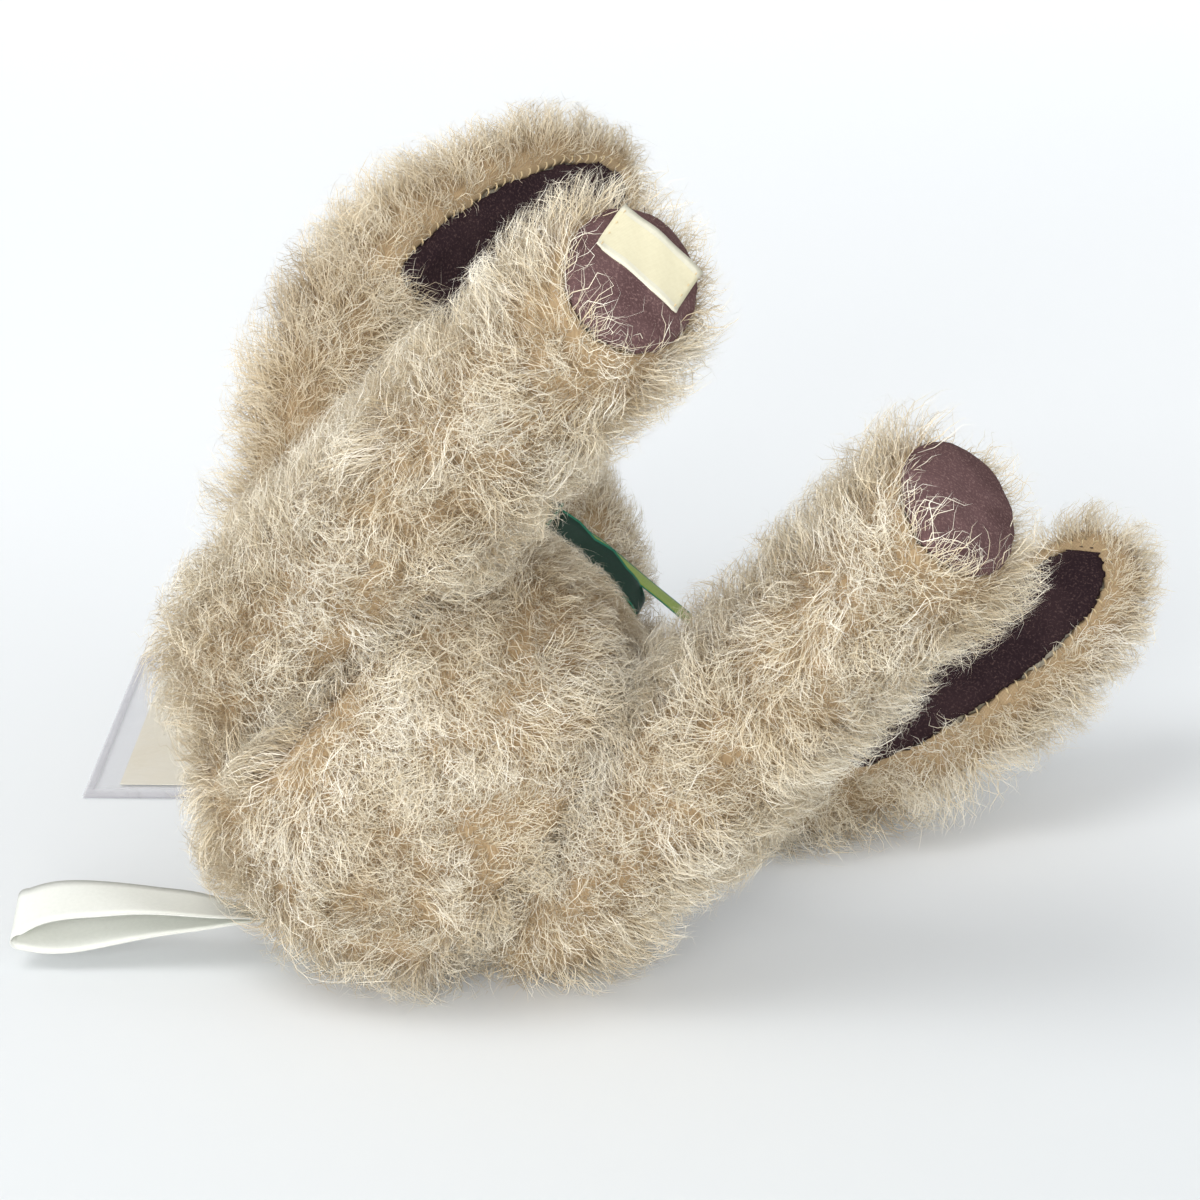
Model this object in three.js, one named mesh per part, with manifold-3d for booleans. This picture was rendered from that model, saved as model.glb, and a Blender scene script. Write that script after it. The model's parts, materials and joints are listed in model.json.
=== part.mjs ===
// A five-jointed mohair teddy bear, about 400 mm tall, lying on its back and left side with its
// limbs raised. Millimetres, +Z up, floor at z = 0. The bear itself is drawn standing: its left is
// +X, its back is +Y and its head is up. Nested groups then lay it down.
import * as THREE from 'three';
import { mergeVertices } from 'three/addons/utils/BufferGeometryUtils.js';
import Module from 'manifold-3d';

const wasm = await Module();
wasm.setup();

const { PI } = Math;
const radians = THREE.MathUtils.degToRad;

// Fabric and clearances
const gap = 0.3; // between pieces that touch
const skinWall = 5; // mohair backing with its pile pressed flat
const pilePressed = 2.6; // how far that pile stands over bare felt
const restCut = 0.5; // how deep a soft form is flattened where it rests

// How the bear lies
const rollToLeft = 40.9; // turn about its spine, from lying on its back
const headLow = 4.72; // how far the head end dips
const hipHeight = 73.8; // hip joints' midpoint over the floor, before the forms are pressed

// Body, measured from the line between the hip joints
const seatDrop = 52;
const neckHeight = 138;
const bodyHalfWidth = 66;
const bodyHalfDepth = 68;
const bodyLean = 8; // how far the body's middle lies behind the hip line
const neckRadius = 28;
const collarRadius = 37; // widest under the ribbon
const shoulderBallRadius = 25; // the body swells to meet each arm
const shoulderBallDepth = 14; // from the arm's face to the middle of that swelling

// Legs
const hipHalf = 36; // midline to the inner face of each thigh
const legLength = 166; // hip joint to the flat end under the sole
const legRootLength = 42;
const thighHalfWidth = 25;
const thighHalfDepth = 36.5;
const legInset = 19.5; // inner face to the leg's centreline
const rightLegDrop = 28.9; // below straight forward, at rest
const leftLegDrop = 21.4;
const legHighest = -15; // the same angle at each end of the range
const legLowest = 105;
const thighClearance = 2;
const footToeward = 5; // the foot's middle lies this far towards the toes
const soleBulge = 5;
const soleRim = 1.2; // skin left showing round a foot pad
const padEdge = 1; // a pad's thickness at its rim

// Arms
const shoulderX = 58.5;
const shoulderY = -1;
const shoulderDrop = 27; // below the neck's face
const shoulderSlope = 46; // how far the shoulder faces up
const shoulderTurn = 25; // how far it faces back
const armLength = 181; // shoulder joint to the middle of the paw
const leftArmBend = 66; // turn of the centreline from shoulder to paw
const rightArmBend = 90;
const armHalfThickness = 20;
const armHalfWidth = 25.5;
const armInset = 11;
const armSwell = 6; // its middle stands out this much more past the shoulder
const rightArmDrop = -29;
const leftArmDrop = 13;
const pawPadStart = 0.42; // share of the arm's length where the pad begins
const pawPadEnd = 1.2;
const pawPadHalfWidth = 18.5;

// Head
const headTurn = 90; // to the bear's left
const headHeight = 96;
const headHalfWidth = 53;
const headHalfDepth = 50;
const headLean = 3; // the crown lies this far behind the neck
const muzzleReach = 80; // from the head's upright axis
const muzzleHeight = 36;
const muzzleHalfWidth = 27;
const muzzleHalfHeight = 23;
const earRadius = 20;
const earHalfThickness = 6.5;
const earOut = 42;
const earUp = 79;
const earTilt = 28;
const earBack = 4;
const eyeRadius = 6.2;
const eyeOut = 18;
const eyeUp = 55;
const eyeFront = 47;
const shankRadius = 1.1;
const shankLength = 15;
const noseHalfWidth = 9.5;
const noseHeight = 9;
const noseRaise = 2.4; // stitches standing over the muzzle
const mouthLine = 2.2;
const mouthStem = 7;
const mouthFall = 7;
const mouthHalfWidth = 11;
const mouthRaise = 1.5;

// Disc joints
const pinRadius = 1.3;
const boardThickness = 3;
const washerThickness = 1;
const washerRadius = 7;
const eyeLoopRadius = 3.2;
const curlRadius = 3.2;
const hipDiscRadius = 18;
const shoulderDiscRadius = 13;
const neckDiscRadius = 19;

// Ribbon round the neck
const ribbonWidth = 10.5;
const ribbonThickness = 0.8;
const ribbonLift = 5.4; // its upper edge over the neck's face
const bowLoop = 40;
const bowLoopDepth = 9;
const bowTail = 58;
const knotWidth = 12;
const knotDepth = 6;
const bowStand = 4.5; // from the band to the middle of the bow
const tailBow = 2;
const tailDroop = 4.5; // how far the tails hang below the band

// Sewn labels and the loose tag
const soleLabelWidth = 28;
const soleLabelHeight = 19;
const soleLabelToe = 6.5; // towards the toes from the pad's middle
const labelThickness = 0.5;
const seamLabelWidth = 19;
const seamLabelReach = 84;
const seamLabelInset = 4; // its root, cut back to the body's surface
const seamLabelLift = 15; // where it leaves the seam, over the floor
const seamLabelAlong = 2; // place along the back seam
const seamLabelBow = 6; // how far its upper layer arches
const seamLoopHeight = 9; // at its folded end
const sleeveWidth = 66;
const sleeveLength = 138;
const sleeveThickness = 1.8;
const sleeveSeam = 3;
const sleeveFilm = 0.4;
const sleeveLeft = -131; // near left corner, from the hip joints' midpoint
const sleeveNear = 126;
const cardMargin = 11;
const cardThickness = 0.4;

const mohair = new THREE.MeshStandardMaterial({ color: 0xc0a684, roughness: 0.95 });
const filling = new THREE.MeshStandardMaterial({ color: 0xe9e4d8, roughness: 1 });
const felt = new THREE.MeshStandardMaterial({ color: 0x563238, roughness: 0.9 });
const board = new THREE.MeshStandardMaterial({ color: 0x9b7a52, roughness: 0.85 });
const steel = new THREE.MeshStandardMaterial({ color: 0xb9bcc0, roughness: 0.35, metalness: 1 });
const glass = new THREE.MeshStandardMaterial({ color: 0x1c120c, roughness: 0.08 });
const floss = new THREE.MeshStandardMaterial({ color: 0x4a2f22, roughness: 0.8 });
const satin = new THREE.MeshStandardMaterial({ color: 0x145a46, roughness: 0.45 });
const tape = new THREE.MeshStandardMaterial({ color: 0xeeeadb, roughness: 0.8 });
const film = new THREE.MeshStandardMaterial({ color: 0xf2f6f8, roughness: 0.15 });
const card = new THREE.MeshStandardMaterial({ color: 0xe6d6ae, roughness: 0.7 });

// Solids: a closed geometry becomes a solid for joins and cuts, and comes back as a geometry

function solidOf(geometry) {
  const plain = geometry.clone();
  for (const name of Object.keys(plain.attributes)) {
    if (name !== 'position') plain.deleteAttribute(name);
  }
  const merged = mergeVertices(plain, 1e-4);
  const corners = [];
  const { array } = merged.index;
  for (let i = 0; i < array.length; i += 3) {
    const [a, b, c] = [array[i], array[i + 1], array[i + 2]];
    if (a !== b && b !== c && c !== a) corners.push(a, b, c);
  }
  return new wasm.Manifold(new wasm.Mesh({
    numProp: 3,
    vertProperties: new Float32Array(merged.attributes.position.array),
    triVerts: new Uint32Array(corners),
  }));
}

function geometryOf(solid) {
  const { vertProperties, triVerts } = solid.getMesh();
  const geometry = new THREE.BufferGeometry();
  geometry.setAttribute('position', new THREE.BufferAttribute(vertProperties, 3));
  geometry.setIndex(new THREE.BufferAttribute(triVerts, 1));
  geometry.computeVertexNormals();
  return geometry;
}

function mirrored(geometry) {
  const copy = geometry.clone();
  const { position } = copy.attributes;
  for (let i = 0; i < position.count; i += 1) position.setX(i, -position.getX(i));
  const { array } = copy.index;
  for (let i = 0; i < array.length; i += 3) [array[i], array[i + 1]] = [array[i + 1], array[i]];
  copy.computeVertexNormals();
  return copy;
}

function boxSolid(low, high) {
  const size = high.map((value, i) => value - low[i]);
  const middle = high.map((value, i) => (value + low[i]) / 2);
  return solidOf(new THREE.BoxGeometry(...size).translate(...middle));
}

function rodSolid(radius, low, high, sides = 16) {
  const rod = new THREE.CylinderGeometry(radius, radius, high - low, sides);
  return solidOf(rod.rotateX(PI / 2).translate(0, 0, (low + high) / 2));
}

// Stuffed forms: rings [along, half width, half depth, mid x, mid y], smoothed and lofted

function smoothRings(stations, count) {
  const columns = stations[0].map((_, column) => new THREE.SplineCurve(
    stations.map((station, i) => new THREE.Vector2(i, station[column])),
  ));
  return Array.from({ length: count }, (_, i) => columns.map(
    (column) => column.getPoint(i / (count - 1)).y,
  ));
}

// The same rings drawn in by a wall, thickest round the widest ring
function drawnIn(rings, wall) {
  const widest = Math.max(...rings.map((ring) => ring[1]));
  const deepest = Math.max(...rings.map((ring) => ring[2]));
  const low = rings[0][0];
  const high = rings[rings.length - 1][0];
  const middle = (low + high) / 2;
  const shorter = (high - low - 2 * wall) / (high - low);
  return rings.map(([along, halfX, halfY, midX, midY]) => [
    middle + (along - middle) * shorter,
    halfX * (widest - wall) / widest,
    halfY * (deepest - wall) / deepest,
    midX,
    midY,
  ]);
}

const straight = (along, x, y) => new THREE.Vector3(x, y, along);

function loft(rings, { sides = 24, place = straight, square = false } = {}) {
  const vertices = [];
  const corners = [];
  const count = square ? 4 : sides;
  const firstAngle = square ? PI / 4 : 0;
  const reach = square ? Math.SQRT2 : 1;
  const addPoint = (point) => {
    vertices.push(point.x, point.y, point.z);
    return vertices.length / 3 - 1;
  };
  const ringPoint = ([along, halfX, halfY, midX, midY], k) => {
    const angle = firstAngle + (2 * PI * k) / count;
    const x = midX + halfX * reach * Math.cos(angle);
    const y = midY + halfY * reach * Math.sin(angle);
    return addPoint(place(along, x, y));
  };
  const rows = rings.map((ring) => Array.from({ length: count }, (_, k) => ringPoint(ring, k)));
  const ends = [rings[0], rings[rings.length - 1]].map(([along, , , midX, midY]) => (
    addPoint(place(along, midX, midY))
  ));
  for (let k = 0; k < count; k += 1) {
    const next = (k + 1) % count;
    corners.push(ends[0], rows[0][next], rows[0][k]);
    corners.push(ends[1], rows[rows.length - 1][k], rows[rows.length - 1][next]);
    for (let r = 0; r + 1 < rows.length; r += 1) {
      corners.push(rows[r][k], rows[r][next], rows[r + 1][next]);
      corners.push(rows[r][k], rows[r + 1][next], rows[r + 1][k]);
    }
  }
  const geometry = new THREE.BufferGeometry();
  geometry.setAttribute('position', new THREE.Float32BufferAttribute(vertices, 3));
  geometry.setIndex(corners);
  return solidOf(geometry);
}

// Places: the bear lies on the floor, and each limb hangs at its joint

const scene = new THREE.Group();
const laid = new THREE.Group();
laid.position.z = hipHeight - restCut;
laid.rotation.x = -radians(headLow);
const rolled = new THREE.Group();
rolled.rotation.y = radians(rollToLeft);
const bear = new THREE.Group();
bear.rotation.x = -PI / 2;
scene.add(laid);
laid.add(rolled);
rolled.add(bear);

function addMesh(parent, name, shape, material) {
  const geometry = shape.isBufferGeometry ? shape : geometryOf(shape);
  const mesh = new THREE.Mesh(geometry, material);
  mesh.name = name;
  parent.add(mesh);
  return mesh;
}

// A group at a joint, given the left side's place and axes; the right side mirrors them
function sideGroup(side, place, x, y, z) {
  const group = new THREE.Group();
  const basis = new THREE.Matrix4().makeBasis(x, y, z);
  if (side < 0) for (const entry of [1, 2, 4, 8]) basis.elements[entry] *= -1;
  group.quaternion.setFromRotationMatrix(basis);
  group.position.set(side * place.x, place.y, place.z);
  bear.add(group);
  return group;
}

const sideName = (side) => (side > 0 ? 'left' : 'right');
const onSide = (side, solid) => (side > 0 ? geometryOf(solid) : mirrored(geometryOf(solid)));

// What lies below the floor, seen from a group, to flatten a form where it rests
function underFloor(group, side = 1) {
  scene.updateMatrixWorld(true);
  const reach = 600;
  const slab = new THREE.BoxGeometry(reach, reach, reach / 4).translate(0, 0, -reach / 8);
  slab.applyMatrix4(group.matrixWorld.clone().invert());
  if (side > 0) return solidOf(slab);
  return solidOf(mirrored(mergeVertices(slab)));
}

// Disc joint: boards and washers either side of the two skins, on a split pin. Local +Z points into
// the limb, z = 0 is the limb's face and z = -gap the body's.

const boardIn = skinWall + gap;
const discSides = 18;
const washerSides = 10;
const washerIn = boardIn + boardThickness + gap;
const endIn = washerIn + washerThickness + gap;
const pinHoleRadius = pinRadius + gap;
const pocketDepth = endIn + 2 * eyeLoopRadius + 2 * pinRadius;

function ringPlate(radius, [low, high], sides) {
  return rodSolid(radius, low, high, sides).subtract(rodSolid(pinHoleRadius, low - 1, high + 1, 8));
}

// A pin with an eye at its head, and two legs that curl apart under the far washer
function splitPin() {
  const neck = -gap - endIn - pinRadius;
  let pin = rodSolid(pinRadius, neck, endIn + pinRadius, 8);
  const wire = pinRadius * 0.8;
  const eye = new THREE.TorusGeometry(eyeLoopRadius, wire, 5, 9);
  pin = pin.add(solidOf(eye.rotateX(PI / 2).translate(0, 0, endIn + eyeLoopRadius + wire)));
  const sectionPoints = new THREE.EllipseCurve(0, 0, wire, wire).getPoints(5).slice(0, 5);
  const section = new THREE.Shape(sectionPoints);
  for (const way of [-1, 1]) {
    const route = Array.from({ length: 7 }, (_, i) => {
      const angle = PI * (0.9 + i / 6);
      const out = curlRadius * (1 + Math.cos(angle));
      return new THREE.Vector3(way * out, 0, neck + curlRadius * Math.sin(angle));
    });
    const curl = new THREE.ExtrudeGeometry(section, {
      extrudePath: new THREE.CatmullRomCurve3(route), steps: 6, bevelEnabled: false,
    });
    pin = pin.add(solidOf(curl));
  }
  return pin;
}

function addDiscJoint(parent, name, discRadius, turn) {
  const joint = new THREE.Group();
  joint.rotation.y = turn;
  parent.add(joint);
  const inLimb = (distance, thickness) => [distance, distance + thickness];
  const inBody = (distance, thickness) => [-gap - distance - thickness, -gap - distance];
  for (const [part, between] of [['limb', inLimb], ['body', inBody]]) {
    const disc = ringPlate(discRadius, between(boardIn, boardThickness), discSides);
    const washer = ringPlate(washerRadius, between(washerIn, washerThickness), washerSides);
    addMesh(joint, `${name}_${part}_disc`, disc, board);
    addMesh(joint, `${name}_${part}_washer`, washer, steel);
  }
  addMesh(joint, `${name}_split_pin`, splitPin(), steel);
}

// The room that a joint takes in a limb's or the body's filling, from the face z = 0 inwards
function jointPocket(discRadius) {
  const pinRoom = 2 * curlRadius + 2 * pinRadius;
  return rodSolid(discRadius + 2 * gap, 0, endIn, discSides)
    .add(rodSolid(pinRoom, 0, pocketDepth, washerSides));
}

const pinHole = rodSolid(pinHoleRadius, -2 * skinWall, 2 * skinWall, 8);
const alongX = new THREE.Matrix4().makeRotationY(PI / 2);

function turned(solid, matrix) {
  return solidOf(geometryOf(solid).applyMatrix4(matrix));
}

// Body

const bodyStations = [
  [0, 0, 0, 1], [0.008, 0.27, 0.27, 1], [0.04, 0.56, 0.56, 1], [0.11, 0.82, 0.82, 0.98],
  [0.21, 0.96, 0.965, 0.93], [0.335, 1, 1, 0.9], [0.475, 1, 0.94, 1.05], [0.61, 0.99, 0.86, 1.2],
  [0.735, 0.98, 0.775, 1.15], [0.82, 0.96, 0.7, 0.95], [0.88, 0.9, 0.63, 0.7], [0.93, 0.76, 0.54, 0.4],
].map(([up, width, depth, lean]) => [
  -seatDrop + up * (seatDrop + neckHeight),
  width * bodyHalfWidth,
  depth * bodyHalfDepth,
  0,
  lean * bodyLean,
]);
const ribbonTop = neckHeight + ribbonLift;
const ribbonLow = ribbonTop - ribbonWidth;
bodyStations.push(
  [ribbonLow, collarRadius, collarRadius * 0.9, 0, 0],
  [neckHeight, neckRadius, neckRadius, 0, 0],
);
const bodyRings = smoothRings(bodyStations, 15);
const cavityRings = smoothRings(bodyStations, 9);
const bodySides = 26;
const bodyInnerSides = 16;

// What a thigh sweeps between the ends of its range, outside its inner face
function thighSweep(wall) {
  const radius = Math.max(legRootLength, thighHalfDepth) + thighClearance + wall;
  const far = bodyHalfDepth * 3;
  const heading = (drop) => new THREE.Vector2(-Math.cos(radians(drop)), -Math.sin(radians(drop)));
  const toeward = (drop) => new THREE.Vector2(-Math.sin(radians(drop)), Math.cos(radians(drop)));
  const sweep = new THREE.Shape();
  const top = toeward(legHighest).multiplyScalar(radius);
  const bottom = toeward(legLowest).multiplyScalar(-radius);
  sweep.moveTo(top.x, top.y);
  const fan = 4;
  for (let i = 0; i <= fan; i += 1) {
    const drop = THREE.MathUtils.lerp(legHighest, legLowest, i / fan);
    const edge = i === 0 ? top : i === fan ? bottom : new THREE.Vector2();
    const point = heading(drop).multiplyScalar(far).add(edge);
    sweep.lineTo(point.x, point.y);
  }
  sweep.lineTo(bottom.x, bottom.y);
  sweep.absarc(0, 0, radius, bottom.angle(), top.angle(), false);
  const prism = new THREE.ExtrudeGeometry(sweep, { depth: far, bevelEnabled: false, curveSegments: 12 });
  const basis = new THREE.Matrix4().makeBasis(
    new THREE.Vector3(0, 1, 0),
    new THREE.Vector3(0, 0, 1),
    new THREE.Vector3(1, 0, 0),
  );
  prism.applyMatrix4(basis).translate(hipHalf - gap - wall, 0, 0);
  return solidOf(prism);
}

const shoulderPlace = new THREE.Vector3(shoulderX, shoulderY, neckHeight - shoulderDrop);
const slope = radians(shoulderSlope);
const back = radians(shoulderTurn);
const shoulderOut = new THREE.Vector3(
  Math.cos(slope) * Math.cos(back),
  Math.sin(back),
  Math.sin(slope) * Math.cos(back),
);
const armForward = new THREE.Vector3(
  Math.cos(slope) * Math.sin(back),
  -Math.cos(back),
  Math.sin(slope) * Math.sin(back),
);
const armDown = new THREE.Vector3(Math.sin(slope), 0, -Math.cos(slope));
const hipPlace = new THREE.Vector3(hipHalf, 0, 0);
const xAxis = new THREE.Vector3(1, 0, 0);

// Joint frames on the left, with +Z along the pin into the limb
const shoulderFrame = new THREE.Matrix4()
  .makeBasis(armDown, new THREE.Vector3().crossVectors(shoulderOut, armDown), shoulderOut)
  .setPosition(shoulderPlace);
const hipFrame = new THREE.Matrix4().makeRotationY(PI / 2).setPosition(hipPlace);
const neckFrame = new THREE.Matrix4().makeTranslation(0, 0, neckHeight + gap);
const mirrorX = new THREE.Matrix4().makeScale(-1, 1, 1);

function bothSides(solid) {
  const geometry = geometryOf(solid);
  return [solid, solidOf(mirrored(geometry))];
}

// Room beyond a shoulder's face, drawn in by a wall
function beyondShoulder(wall) {
  const reach = bodyHalfWidth * 3;
  const room = boxSolid([-reach, -reach, -gap - wall], [reach, reach, reach]);
  return turned(room, shoulderFrame);
}

function shoulderBall(wall) {
  const ball = new THREE.SphereGeometry(shoulderBallRadius - wall, 14, 9);
  return turned(solidOf(ball.translate(0, 0, -shoulderBallDepth)), shoulderFrame);
}

function bodyForm(rings, wall, sides) {
  let form = loft(drawnIn(rings, wall), { sides });
  for (const half of bothSides(shoulderBall(wall))) form = form.add(half);
  for (const room of [thighSweep(wall), beyondShoulder(wall)]) {
    for (const half of bothSides(room)) form = form.subtract(half);
  }
  const reach = neckHeight;
  return form.subtract(boxSolid([-reach, -reach, neckHeight - wall], [reach, reach, 2 * reach]));
}

// A joint's room on the body's side of its face, as a pocket pointing inwards
const inwards = new THREE.Matrix4().makeRotationY(PI).setPosition(0, 0, -gap);
function bodyPocket(discRadius, frame) {
  return turned(jointPocket(discRadius), frame.clone().multiply(inwards));
}

function cutForJoints(solid, shapeAt) {
  let cut = solid;
  for (const frame of [hipFrame, shoulderFrame]) {
    for (const half of bothSides(shapeAt(frame))) cut = cut.subtract(half);
  }
  return cut.subtract(shapeAt(neckFrame));
}

const discRadiusAt = new Map([
  [hipFrame, hipDiscRadius], [shoulderFrame, shoulderDiscRadius], [neckFrame, neckDiscRadius],
]);
const bodyShell = bodyForm(bodyRings, 0, bodySides)
  .subtract(bodyForm(cavityRings, skinWall, bodyInnerSides));
const bodySkin = cutForJoints(bodyShell, (frame) => turned(pinHole, frame));
addMesh(bear, 'body_skin', bodySkin.subtract(underFloor(bear)), mohair);
const bodyStuffing = cutForJoints(
  bodyForm(cavityRings, skinWall + gap, bodyInnerSides),
  (frame) => bodyPocket(discRadiusAt.get(frame), frame),
);
addMesh(bear, 'body_stuffing', bodyStuffing, filling);

// Legs: local +X out from the inner face, +Z down the leg, +Y towards the toes

const legStations = [
  [-1, 0, 0, 0], [-0.96, 0.36, 0.36, 0], [-0.8, 0.73, 0.68, 0], [-0.5, 0.94, 0.9, 0], [0, 1, 1, 0],
].map(([along, width, depth, toe]) => [
  along * legRootLength, width * thighHalfWidth, depth * thighHalfDepth, legInset, toe,
]).concat([
  [0.17, 0.99, 0.965, 0], [0.33, 0.96, 0.89, 0], [0.5, 0.92, 0.8, 0], [0.66, 0.87, 0.735, 0.1],
  [0.79, 0.85, 0.74, 0.5], [0.9, 0.88, 0.83, 0.9], [0.97, 0.87, 0.84, 1], [1, 0.83, 0.81, 1],
].map(([along, width, depth, toe]) => [
  along * legLength, width * thighHalfWidth, depth * thighHalfDepth, legInset, toe * footToeward,
]));
const legRings = smoothRings(legStations, 15);
const legCavityRings = smoothRings(legStations, 9);
const legSides = 20;
const legInnerSides = 12;

function legForm(rings, wall, sides) {
  const reach = 2 * legLength;
  let form = loft(drawnIn(rings, wall), { sides });
  if (wall > 0) form = form.add(legEnd(rings, wall, sides));
  return form.subtract(boxSolid([-reach, -reach, -reach], [wall, reach, reach]));
}

// The sole's end is open, so a wall drawn in there is carried on to the sole
function legEnd(rings, wall, sides) {
  const inner = drawnIn(rings, wall);
  const last = inner[inner.length - 1];
  const before = [last[0] - 1, ...last.slice(1)];
  return loft([before, [legLength, ...last.slice(1)]], { sides });
}

function soleCap(low, lift) {
  const [, width, depth, midX, midY] = legStations[legStations.length - 1];
  const halfX = width - soleRim;
  const halfY = depth - soleRim;
  const rings = [[legLength + low, halfX, halfY, midX, midY]];
  const steps = 5;
  for (let i = 0; i <= steps; i += 1) {
    const angle = (i / steps) * PI / 2;
    const spread = Math.cos(angle);
    const up = legLength + gap + padEdge + lift + (soleBulge - padEdge) * Math.sin(angle);
    rings.push([up, halfX * spread, halfY * spread, midX, midY]);
  }
  return loft(rings, { sides: legSides });
}

function addLeg(side, drop) {
  const heading = new THREE.Vector3(0, -Math.cos(radians(drop)), -Math.sin(radians(drop)));
  const toeward = new THREE.Vector3(0, -Math.sin(radians(drop)), Math.cos(radians(drop)));
  const leg = sideGroup(side, hipPlace, xAxis, toeward, heading);
  const name = sideName(side);
  const hole = turned(pinHole, alongX);
  const skin = legForm(legRings, 0, legSides)
    .subtract(legForm(legCavityRings, skinWall, legInnerSides))
    .subtract(hole);
  addMesh(leg, `${name}_leg_skin`, onSide(side, skin.subtract(underFloor(leg, side))), mohair);
  const stuffing = legForm(legCavityRings, skinWall + gap, legInnerSides)
    .subtract(turned(jointPocket(hipDiscRadius), alongX));
  addMesh(leg, `${name}_leg_stuffing`, onSide(side, stuffing), filling);
  addMesh(leg, `${name}_foot_pad`, onSide(side, soleCap(gap, 0)), felt);
  addDiscJoint(leg, `${name}_hip`, hipDiscRadius, side * PI / 2);
  return leg;
}

addLeg(1, leftLegDrop);
const rightLeg = addLeg(-1, rightLegDrop);

const soleMiddle = legStations[legStations.length - 1];
const soleLabelArea = boxSolid(
  [legInset - soleLabelWidth / 2, soleMiddle[4] + soleLabelToe - soleLabelHeight / 2, legLength],
  [legInset + soleLabelWidth / 2, soleMiddle[4] + soleLabelToe + soleLabelHeight / 2, 2 * legLength],
);
const soleLabel = soleCap(gap, gap + labelThickness)
  .subtract(soleCap(-soleBulge, gap))
  .intersect(soleLabelArea);
addMesh(rightLeg, 'foot_label', mirrored(geometryOf(soleLabel)), tape);

// Arms: the same axes, with the centreline bent in the plane of +Y and +Z

function armPath(bendAngle) {
  const bend = radians(bendAngle);
  const radius = armLength / bend;
  return (along, x, across) => {
    const share = THREE.MathUtils.clamp(along / armLength, 0, 1);
    const beyond = along - share * armLength;
    const heading = bend / 2 - bend * share;
    const y = -radius * (Math.cos(heading) - Math.cos(bend / 2)) - beyond * Math.sin(heading);
    const z = radius * (Math.sin(bend / 2) - Math.sin(heading)) + beyond * Math.cos(heading);
    return new THREE.Vector3(x, y + across * Math.cos(heading), z + across * Math.sin(heading));
  };
}

const armStations = [
  [-0.135, 0, 0, 0], [-0.128, 0.28, 0.34, 0], [-0.1, 0.54, 0.64, 0], [-0.05, 0.69, 0.86, 0],
  [0.03, 0.76, 0.94, 0], [0.18, 0.87, 0.98, 0.4], [0.36, 0.98, 1, 0.85], [0.55, 0.96, 0.97, 1],
  [0.72, 0.9, 0.91, 1], [0.87, 0.88, 0.88, 0.92], [0.96, 0.8, 0.8, 0.92], [1.03, 0.62, 0.63, 0.92],
  [1.075, 0.32, 0.34, 0.92], [1.085, 0, 0, 0.92],
].map(([along, thickness, width, outward]) => [
  along * armLength,
  thickness * armHalfThickness,
  width * armHalfWidth,
  armInset + outward * armSwell,
  0,
]);
const armRings = smoothRings(armStations, 16);
const armCavityRings = smoothRings(armStations, 10);
const armSides = 18;
const armInnerSides = 12;

function armForm(rings, wall, sides, place) {
  const reach = 2 * armLength;
  return loft(drawnIn(rings, wall), { sides, place })
    .subtract(boxSolid([-reach, -reach, -reach], [wall, reach, reach]));
}

function pawPadArea(margin, place) {
  const halfWidth = pawPadHalfWidth + margin;
  const ends = [pawPadStart * armLength - margin, pawPadEnd * armLength + margin];
  const rings = Array.from({ length: 9 }, (_, i) => [
    THREE.MathUtils.lerp(ends[0], ends[1], i / 8), armInset * 0.6, halfWidth, 0, 0,
  ]);
  return loft(rings, { square: true, place });
}

function addArm(side, drop, bend) {
  const path = armPath(bend);
  const angle = radians(drop);
  const heading = armForward.clone().multiplyScalar(Math.cos(angle))
    .addScaledVector(armDown, Math.sin(angle));
  const arm = sideGroup(
    side,
    shoulderPlace,
    shoulderOut,
    new THREE.Vector3().crossVectors(heading, shoulderOut),
    heading,
  );
  const name = sideName(side);
  const cavity = armForm(armCavityRings, skinWall, armInnerSides, path);
  const skin = armForm(armRings, 0, armSides, path).subtract(cavity).subtract(pawPadArea(0, path))
    .subtract(turned(pinHole, alongX));
  addMesh(arm, `${name}_arm_skin`, onSide(side, skin.subtract(underFloor(arm, side))), mohair);
  const stuffing = armForm(armCavityRings, skinWall + gap, armInnerSides, path)
    .subtract(turned(jointPocket(shoulderDiscRadius), alongX));
  addMesh(arm, `${name}_arm_stuffing`, onSide(side, stuffing), filling);
  const pad = armForm(armRings, pilePressed, armSides, path).subtract(cavity)
    .intersect(pawPadArea(-gap, path));
  addMesh(arm, `${name}_paw_pad`, onSide(side, pad), felt);
  addDiscJoint(arm, `${name}_shoulder`, shoulderDiscRadius, side * PI / 2);
}

addArm(1, leftArmDrop, leftArmBend);
addArm(-1, rightArmDrop, rightArmBend);

// Head: local +Z up from the neck's face, looking along -Y

const head = new THREE.Group();
head.position.z = neckHeight + gap;
head.rotation.z = radians(headTurn);
bear.add(head);

const headStations = [
  [0, 0.52, 0.55, 0], [0.06, 0.66, 0.69, 0], [0.17, 0.9, 0.91, 0], [0.31, 1, 1, 0],
  [0.48, 1, 1, 0.33], [0.64, 0.94, 0.95, 0.67], [0.78, 0.8, 0.82, 1], [0.9, 0.57, 0.59, 1],
  [0.975, 0.28, 0.3, 1], [1, 0, 0, 1],
].map(([up, width, depth, lean]) => [
  up * headHeight, width * headHalfWidth, depth * headHalfDepth, 0, lean * headLean,
]);
const muzzleStations = [
  [0.2, 1, 1], [0.5, 1, 1], [0.66, 0.93, 0.92], [0.8, 0.8, 0.79], [0.9, 0.62, 0.62],
  [0.97, 0.36, 0.37], [1, 0, 0],
].map(([out, width, height]) => [
  out * muzzleReach, width * muzzleHalfWidth, height * muzzleHalfHeight, 0, muzzleHeight,
]);
const forward = (along, x, y) => new THREE.Vector3(x, -along, y);

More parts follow.
